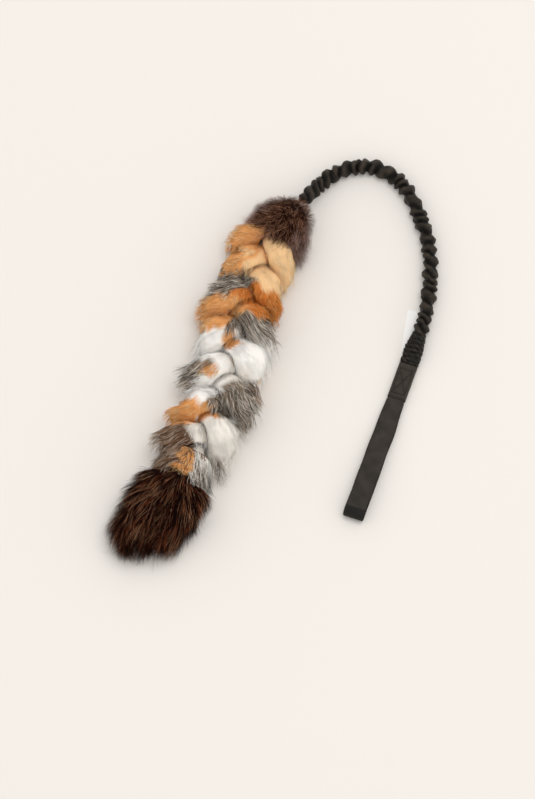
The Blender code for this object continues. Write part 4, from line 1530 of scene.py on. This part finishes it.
def strap_path():
    """The strap's middle line in the (y, z) plane, from one end in the tab round to the other."""
    half = STRAP_THICKNESS / 2
    seat = UNDERSIDE + TAB_WALL + SEAT + half
    inner_end = TAB_MOUTH + POCKET_DEPTH - SEAT
    fold_radius = LOOP_HEIGHT / 2 - half
    bare = TAB_MOUTH - SEAT
    flared = bare - STRAP_FLARE
    run = np.concatenate([
        np.linspace(inner_end, bare, POCKET_RINGS, endpoint=False),
        np.linspace(bare, flared, NECK_RINGS, endpoint=False),
        np.linspace(flared, FOLD_MIDDLE, RUN_RINGS),
    ])
    path = [(y, mix(seat, half, smooth((flared - y) / STRAP_RISE))) for y in run]
    for turn in np.linspace(0.0, pi, FOLD_RINGS)[1:-1]:
        path.append((FOLD_MIDDLE - fold_radius * sin(turn), LOOP_HEIGHT / 2 - fold_radius * cos(turn)))
    upper = seat + STRAP_THICKNESS + SEAT
    for y in run[::-1]:
        rise = smooth((flared - y) / (flared - FOLD_MIDDLE))
        path.append((y, mix(upper, LOOP_HEIGHT - half, rise)))
    return np.array(path)


class HandleOperator(bpy.types.Operator):
    """Make the flat tab with its sewn box and cross, and the webbing loop"""

    bl_idname = "tug_toy.handle"
    bl_label = "Webbing handle"

    def execute(self, context):
        sizes = context.scene.tug_handle
        strap = self.strap(webbing_finish(tuple(sizes.colour), tuple(sizes.worn)))
        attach(strap, "handle")
        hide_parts("handle_strap")

        tab = self.tab(sleeve_finish(tuple(context.scene.tug_sleeve.colour), tuple(sizes.worn)))
        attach(tab, "handle")
        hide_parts("handle_tab")

        seam = join_skins("tab_stitches", self.stitches(), thread_finish())
        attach(seam, "handle")
        return {"FINISHED"}

    def strap(self, finish):
        path = strap_path()
        heading = unit(np.gradient(path, axis=0))
        out_of_tab = TAB_MOUTH - SEAT - path[:, 0]
        neck = mix(STRAP_END_WIDTH, STRAP_NECK_WIDTH, smooth(out_of_tab / STRAP_NECK))
        half_width = mix(neck, STRAP_WIDTH, smooth(out_of_tab / STRAP_TAPER)) / 2
        shares = np.linspace(-1.0, 1.0, STRAP_POINTS)
        across = np.concatenate([shares, shares[::-1]])
        over = np.repeat([1.0, -1.0], STRAP_POINTS)
        thin = np.where(np.abs(across) > STRAP_EDGE, EDGE_THINNESS, 1.0)
        off = STRAP_THICKNESS / 2 * (over * thin)[None, :]
        x = HANDLE_X + half_width[:, None] * across[None, :] + stray(path, STRAP_WAVE)[:, None]
        y = path[:, 0, None] - heading[:, 1, None] * off
        z = path[:, 1, None] + heading[:, 0, None] * off
        rings = np.stack([x, y, z], axis=-1)
        strap = tube_object("webbing_loop", placed(rings), finish)
        # Painted shade round the fold and a painted highlight on the crease above it, by distance up the
        # strap
        shade = np.interp(path[:, 0] - FOLD_MIDDLE, *zip(*FOLD_PAINTED_LIGHT))
        layer = strap.data.attributes.new("fold_painted_light", "FLOAT", "POINT")
        layer.data.foreach_set("value", np.repeat(shade, rings.shape[1]).astype(np.float32))
        return strap

    def tab(self, finish):
        y = TAB_TOP - np.linspace(0.0, 1.0, TAB_RINGS)[:, None] * TAB_LENGTH
        top = UNDERSIDE + TAB_HEIGHT
        ring, over = flattened_rings(y, TAB_WIDTH / 2, top, TAB_FLATNESS, TAB_SIDES)
        ring[..., 2] += (stray(ring, TAB_CREASE) - TAB_SUNK) * (over > TAB_UPPER)
        half = TOOTH_POINTS / 2
        ring[-1, :, 1] += TAB_TEETH * (np.abs(np.arange(TAB_SIDES) % TOOTH_POINTS - half) / half - 0.5)
        return tube_object("sewn_tab", placed(ring), finish, TAB_RUB)

    def stitches(self):
        left, right = HANDLE_X - BOX_HALF, HANDLE_X + BOX_HALF
        high, low, hem = TAB_TOP - BOX_TOP, TAB_MOUTH + BOX_FOOT, TAB_MOUTH + HEM
        lines = (
            ((left, high), (left, low)),
            ((right, high), (right, low)),
            ((left, high), (right, high)),
            ((left, low), (right, low)),
            ((left, high), (right, low)),
            ((left, low), (right, high)),
            ((left - HEM, hem), (right + HEM, hem)),
        )
        threads = []
        for first, last in np.array(lines):
            count = int(np.linalg.norm(last - first) / STITCH_PITCH)
            for number in range(count):
                path = []
                for share in (0.0, 0.3, 0.7, 1.0):
                    x, y = mix(first, last, (number + STITCH_GAP + share * STITCH_SHARE) / count)
                    rise = STITCH_ARCH * sin(pi * share) - STITCH_SUNK
                    path.append((x, y, UNDERSIDE + TAB_HEIGHT + rise))
                threads.append(stitch(placed(path), STITCH_THREAD))
        return threads


class BraidOperator(bpy.types.Operator):
    """Make the fur strips of the three plaited strands"""

    bl_idname = "tug_toy.braid"
    bl_label = "Plaited fur strips"

    def execute(self, context):
        sizes = context.scene.tug_braid
        finish = fur_finish()
        braid = Braid(sizes)
        whole = np.linspace(0.0, braid.line.length, STRAND_STATIONS)
        for index, (letter, strips) in enumerate(STRANDS):
            others = np.concatenate([braid.middle(k, whole) for k in range(len(STRANDS)) if k != index])
            start = 0.0
            for number, (fur, end) in enumerate(strips, 1):
                stop = braid.line.length if end is None else end
                name = f"{letter}_{number}_{fur}"
                self.strip(braid, index, name, fur, start, stop, others, finish)
                start = stop
        return {"FINISHED"}

    def strip(self, braid, index, name, fur, start, stop, others, finish):
        sizes = braid.sizes
        distance = np.linspace(start, stop, int((stop - start) / STRIP_SPACING) + 2)
        middles = braid.middle(index, distance)
        ahead = braid.middle(index, distance + NEAR)
        behind = braid.middle(index, distance - NEAR)
        straight = smooth(np.minimum(distance, braid.line.length - distance) / STRAIGHT_END)[:, None]
        headings = unit(mix(braid.line.heading(distance), unit(ahead - behind), straight))
        free = braid.free(distance)
        side = mix(BOUND_SIZE, sizes.strand_side, free)
        depth = mix(BOUND_SIZE, sizes.strand_depth, free)
        rings, pressed = pressed_rings(middles, headings, side, depth, others, STRIP_SIDES)
        normals = grid_normals(rings)
        flat = rings.reshape(-1, 3)
        coats, _, near, _, swell = braid_coats(braid, flat, normals.reshape(-1, 3), fur)
        plump = sizes.hide_share * (BARE_SIZE + LOBE_SIZE * np.sqrt(near.reshape(pressed.shape)))
        plump = np.clip(mix(plump, SIZE_RANGE[1], smooth(PRESS_EASE * pressed)), *SIZE_RANGE)
        centre = middles[:, None, :]
        rings = centre + (rings - centre) * plump[..., None]
        weight = self.hair_weight(coats, pressed, normals)
        seed = 100 + 10 * index + len(name) + int(1000 * start)
        rng = np.random.default_rng(seed)
        roots, outward, lengthwise = scatter(rng, rings, weight, fur_sizes().density)
        hair_coats, flow, near, on_lobe, root_swell = braid_coats(braid, roots, outward, fur)
        apart = nearest_distance(roots, others) - nearest_distance(roots, middles)
        seam = (apart < SEAM_REACH) & (outward[:, 2] > 0.0)
        hair_coats = [
            "seam" if close and coat in SEAM_COATS else coat for coat, close in zip(hair_coats, seam)
        ]
        comb = np.where(on_lobe, LOBE_COMB, BARE_COMB)[:, None]
        flow = unit(comb * flow + (1 - comb) * lengthwise)
        growth = np.where(on_lobe, LOBE_GROWTH[0] + LOBE_GROWTH[1] * near, BARE_GROWTH)
        growth *= 1.0 + SIDE_GROWTH * (1.0 - smooth(outward[:, 2])) * on_lobe
        rings += swell.reshape(rings.shape)
        roots += root_swell
        dyes = root_dyes(coats)
        pelt = pelt_object(
            f"strip_{name}", rings, dyes, roots, outward, flow, hair_coats, growth, seed, finish
        )
        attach(pelt, "braid")
        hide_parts(f"strand_{name}")

    def hair_weight(self, coats, pressed, normals):
        """How closely hair grows on a hide: by its coat, thinner where it is pressed or pale on top."""
        cover = np.array([COVER[coat] for coat in coats]).reshape(pressed.shape)
        top_cover = np.array([TOP_COVER.get(coat, 1.0) for coat in coats]).reshape(pressed.shape)
        pale = np.array([coat in SEAM_COATS for coat in coats]).reshape(pressed.shape)
        on_top = smooth(normals[..., 2] / TOP_FACING) * (1.0 - smooth(TOP_EASE * pressed))
        weight = thinning(pressed, STRIP_THINNING) * cover * mix(1.0, top_cover, on_top)
        beside_seam = pale & (pressed > 0.0) & (pressed < SEAM_PRESSED)
        return weight * np.where(beside_seam, SEAM_COVER, 1.0)


def thinning(pressed, shares):
    """The share of the hair that grows where a hide is pressed."""
    start, slope, least = shares
    return np.clip(start - slope * pressed, least, 1.0)


def turned_rings(pivot, lean, stations, height, spread, count):
    """Rings round a leaning axis, from pairs of a distance down from the pivot and a radius."""
    down = np.linspace(stations[0][0], stations[-1][0], count)
    wide = np.interp(down, *zip(*stations))
    rings = np.empty((count, TURNED_SIDES, 3))
    for row, (place, radius) in enumerate(zip(down, wide)):
        for side, turn in enumerate(-round_angles(TURNED_SIDES)):
            across = radius * spread * cos(turn)
            rings[row, side] = leaning(pivot, lean, across, -place, radius * sin(turn), height)
    return placed(rings)


def axis_distance(points, pivot, lean):
    """How far down a leaning axis, and how far right of it, points lie."""
    off = points[:, :2] + TOY_MIDDLE[:2] - np.array(pivot)
    down = -(off[:, 0] * sin(lean) + off[:, 1] * cos(lean))
    across = off[:, 0] * cos(lean) - off[:, 1] * sin(lean)
    return down, across


class CollarOperator(bpy.types.Operator):
    """Make the dark pelt collar round the top of the braid"""

    bl_idname = "tug_toy.collar"
    bl_label = "Pelt collar"

    def execute(self, context):
        rings = turned_rings(
            SLEEVE_PIVOT, COLLAR_LEAN, COLLAR_CONE, lay_height(), COLLAR_SPREAD, TURNED_RINGS
        )
        rng = np.random.default_rng(COLLAR_SEED)
        weight = np.ones(rings.shape[:2])
        roots, outward, lengthwise = scatter(rng, rings, weight, COLLAR_DENSITY * fur_sizes().density)
        rim = outward[:, 2] + stray(roots, RIM_EDGE) + RIM_SCATTER * rng.normal(size=len(roots))
        coats = ["collar_rim" if level < RIM_LEVEL else "collar" for level in rim]
        down, across = axis_distance(roots, SLEEVE_PIVOT, COLLAR_LEAN)
        turned_up = smooth((COMBED_UP[0] - down) / COMBED_UP[1])
        fan = np.clip(across / COLLAR_SIDE, -0.5, 1.0) * COLLAR_FAN
        flow = mix(lengthwise, -lengthwise, turned_up[:, None]) + fan[:, None] * rightward(COLLAR_LEAN)
        aside = np.clip(across / COLLAR_SIDE, -1.0, 1.0)
        over_braid = smooth((down - OVER_BRAID[0]) / OVER_BRAID[1]) * (1.0 - aside**2)
        growth = mix(1.0, MOUTH_GROWTH, turned_up) + OVER_BRAID_GROWTH * over_braid
        growth *= mix(*SIDE_AND_TOP_GROWTH, smooth(outward[:, 2]))
        growth *= 1.0 + RIGHT_GROWTH * aside
        dyes = root_dyes(["collar"] * weight.size)
        pelt = pelt_object(
            "pelt_collar", rings, dyes, roots, outward, unit(flow), coats, growth, COLLAR_SEED, fur_finish()
        )
        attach(pelt, "braid")
        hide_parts("collar")
        return {"FINISHED"}


def tail_pivot():
    return (BRAID_END[0] - TAIL_DROP * sin(TAIL_LEAN), BRAID_END[1] - TAIL_DROP * cos(TAIL_LEAN))


class TailOperator(bpy.types.Operator):
    """Make the three long-haired tufts of the tail and the ruff round its knot"""

    bl_idname = "tug_toy.tail"
    bl_label = "Tail tufts"

    def execute(self, context):
        height = lay_height()
        finish = fur_finish()
        share = np.linspace(0.0, 1.0, TUFT_RINGS)
        middles = {}
        for name, (root, tip, _, _) in TUFTS.items():
            route = []
            for t in share:
                across = mix(root[0], tip[0], smooth(t))
                up = mix(root[2], tip[2], smooth(t))
                down = -mix(root[1], tip[1], TUFT_HIDE_LENGTH * t)
                route.append(leaning(tail_pivot(), TAIL_LEAN, across, down, up, height))
            middles[name] = placed(route)
        grow = smooth(share / TUFT_WIDENING)
        from_share, over_share, amount = TUFT_NARROWING
        narrow = np.sqrt(1.0 - amount * (np.clip(share - from_share, 0.0, 1.0) / over_share) ** 2)
        for number, (name, (_, _, slim, full)) in enumerate(TUFTS.items()):
            route = middles[name]
            headings = unit(np.gradient(route, axis=0))
            others = np.concatenate([middles[other] for other in middles if other != name])
            side = mix(slim[0], full[0], grow) * narrow
            depth = mix(slim[1], full[1], grow) * narrow
            rings, pressed = pressed_rings(route, headings, side, depth, others, TUFT_SIDES)
            centre = route[:, None, :]
            rings = centre + (rings - centre) * mix(TUFT_ROOT_SHARE, TUFT_TIP_SHARE, share)[:, None, None]
            weight = thinning(pressed, TUFT_THINNING)
            pelt = self.tuft(f"{name}_tuft", rings, weight, 1.0, TUFT_SEED + number, finish)
            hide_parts(name)
        rings = turned_rings(tail_pivot(), TAIL_LEAN, KNOT_RUFF, height, RUFF_SPREAD, RUFF_RINGS)
        self.tuft("tail_ruff", rings, np.ones(rings.shape[:2]), RUFF_GROWTH, RUFF_SEED, finish)
        return {"FINISHED"}

    def tuft(self, name, rings, weight, grown, seed, finish):
        rng = np.random.default_rng(seed)
        roots, outward, lengthwise = scatter(rng, rings, weight, TAIL_DENSITY * fur_sizes().density)
        down, across = axis_distance(roots, tail_pivot(), TAIL_LEAN)
        fan = TAIL_FAN * (across / TAIL_SIDE) * (1.0 - smooth(down / TAIL_FANNED))
        flow = unit(lengthwise + fan[:, None] * rightward(TAIL_LEAN))
        dyes = root_dyes(["tail"] * weight.size)
        coats = ["tail"] * len(roots)
        growth = np.full(len(roots), grown)
        pelt = pelt_object(name, rings, dyes, roots, outward, flow, coats, growth, seed, finish)
        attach(pelt, "tail")
        return pelt


class FringeOperator(bpy.types.Operator):
    """Make the fringe of ivory, silver, tan and brown fur that hangs over the braid's lower binding"""

    bl_idname = "tug_toy.fringe"
    bl_label = "Fringe over the binding"

    def execute(self, context):
        rings = turned_rings(
            tail_pivot(), TAIL_LEAN, BINDING_FRINGE, lay_height(), FRINGE_SPREAD, FRINGE_RINGS
        )
        rng = np.random.default_rng(FRINGE_SEED)
        weight = np.ones(rings.shape[:2])
        roots, outward, lengthwise = scatter(rng, rings, weight, fur_sizes().density)
        down, across = axis_distance(roots, tail_pivot(), TAIL_LEAN)
        place = across + stray(roots, FRINGE_EDGE)
        coats = np.where(place > TAN_HALF, "silver", np.where(place > -TAN_HALF, "tan", "brown"))
        coats = np.where((down < IVORY_EDGE) & (place > IVORY_LEFT), "ivory", coats).tolist()
        flow = unit(lengthwise + rightward(TAIL_LEAN) * (across / TAIL_SIDE)[:, None])
        growth = mix(*FRINGE_GROWTH, smooth(np.abs(across) / TAIL_SIDE))
        growth *= mix(1.0, FRINGE_TOP_GROWTH, smooth(outward[:, 2]))
        dyes = root_dyes(["brown"] * weight.size)
        pelt = pelt_object(
            "binding_fringe", rings, dyes, roots, outward, flow, coats, growth, FRINGE_SEED, fur_finish()
        )
        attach(pelt, "braid")
        return {"FINISHED"}


class InnerOperator(bpy.types.Operator):
    """Give the cords and bindings inside the fur their finish"""

    bl_idname = "tug_toy.inner"
    bl_label = "Inner cords and bindings"

    def execute(self, context):
        cord = cord_finish("undyed_cord", (0.50, 0.46, 0.38), (0.70, 0.66, 0.58))
        thread = cord_finish("binding_thread", (0.04, 0.028, 0.022), (0.12, 0.09, 0.07))
        cloth = plain_finish("anchor_cloth", (0.012, 0.011, 0.009), (0.035, 0.032, 0.028), 0.6)
        chosen = {
            "core_cord_a": cord,
            "core_cord_b": cord,
            "core_cord_c": cord,
            "tail_knot": cord,
            "collar_binding": thread,
            "tail_binding": thread,
            "sleeve_anchor": cloth,
        }
        for node, finish in chosen.items():
            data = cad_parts[node].data
            data.materials.clear()
            data.materials.append(finish)
        return {"FINISHED"}


class TugToyPanel(bpy.types.Panel):
    """Sizes, colours and steps of the tug toy"""

    bl_idname = "TUG_PT_toy"
    bl_label = "Tug Toy"
    bl_space_type = "VIEW_3D"
    bl_region_type = "UI"
    bl_category = "Tug Toy"

    def draw(self, context):
        for title, group in SETTINGS.items():
            box = self.layout.box()
            box.label(text=title)
            settings = getattr(context.scene, group)
            for name in settings.bl_rna.properties.keys():
                if name not in ("rna_type", "name"):
                    box.prop(settings, name)
        for step in STEPS:
            self.layout.operator(step.bl_idname)


SETTINGS = {
    "Braid": "tug_braid",
    "Fur": "tug_fur",
    "Sleeve": "tug_sleeve",
    "Handle": "tug_handle",
    "Stage": "tug_stage",
}
GROUPS = {
    "tug_braid": TugBraidSizes,
    "tug_fur": TugFurSizes,
    "tug_sleeve": TugSleeveSizes,
    "tug_handle": TugHandleSizes,
    "tug_stage": TugStageSizes,
}
STEPS = (
    StageOperator,
    SleeveOperator,
    CuffOperator,
    HandleOperator,
    BraidOperator,
    CollarOperator,
    TailOperator,
    FringeOperator,
    InnerOperator,
)


def register():
    for group in GROUPS.values():
        bpy.utils.register_class(group)
    for step in STEPS:
        bpy.utils.register_class(step)
    bpy.utils.register_class(TugToyPanel)
    for name, group in GROUPS.items():
        setattr(bpy.types.Scene, name, PointerProperty(type=group))


def unregister():
    for name in GROUPS:
        delattr(bpy.types.Scene, name)
    bpy.utils.unregister_class(TugToyPanel)
    for step in STEPS:
        bpy.utils.unregister_class(step)
    for group in GROUPS.values():
        bpy.utils.unregister_class(group)


def main():
    register()
    bpy.ops.tug_toy.stage()
    bpy.ops.tug_toy.sleeve()
    bpy.ops.tug_toy.cuff()
    bpy.ops.tug_toy.handle()
    bpy.ops.tug_toy.braid()
    bpy.ops.tug_toy.collar()
    bpy.ops.tug_toy.tail()
    bpy.ops.tug_toy.fringe()
    bpy.ops.tug_toy.inner()


if __name__ == "__main__":
    main()
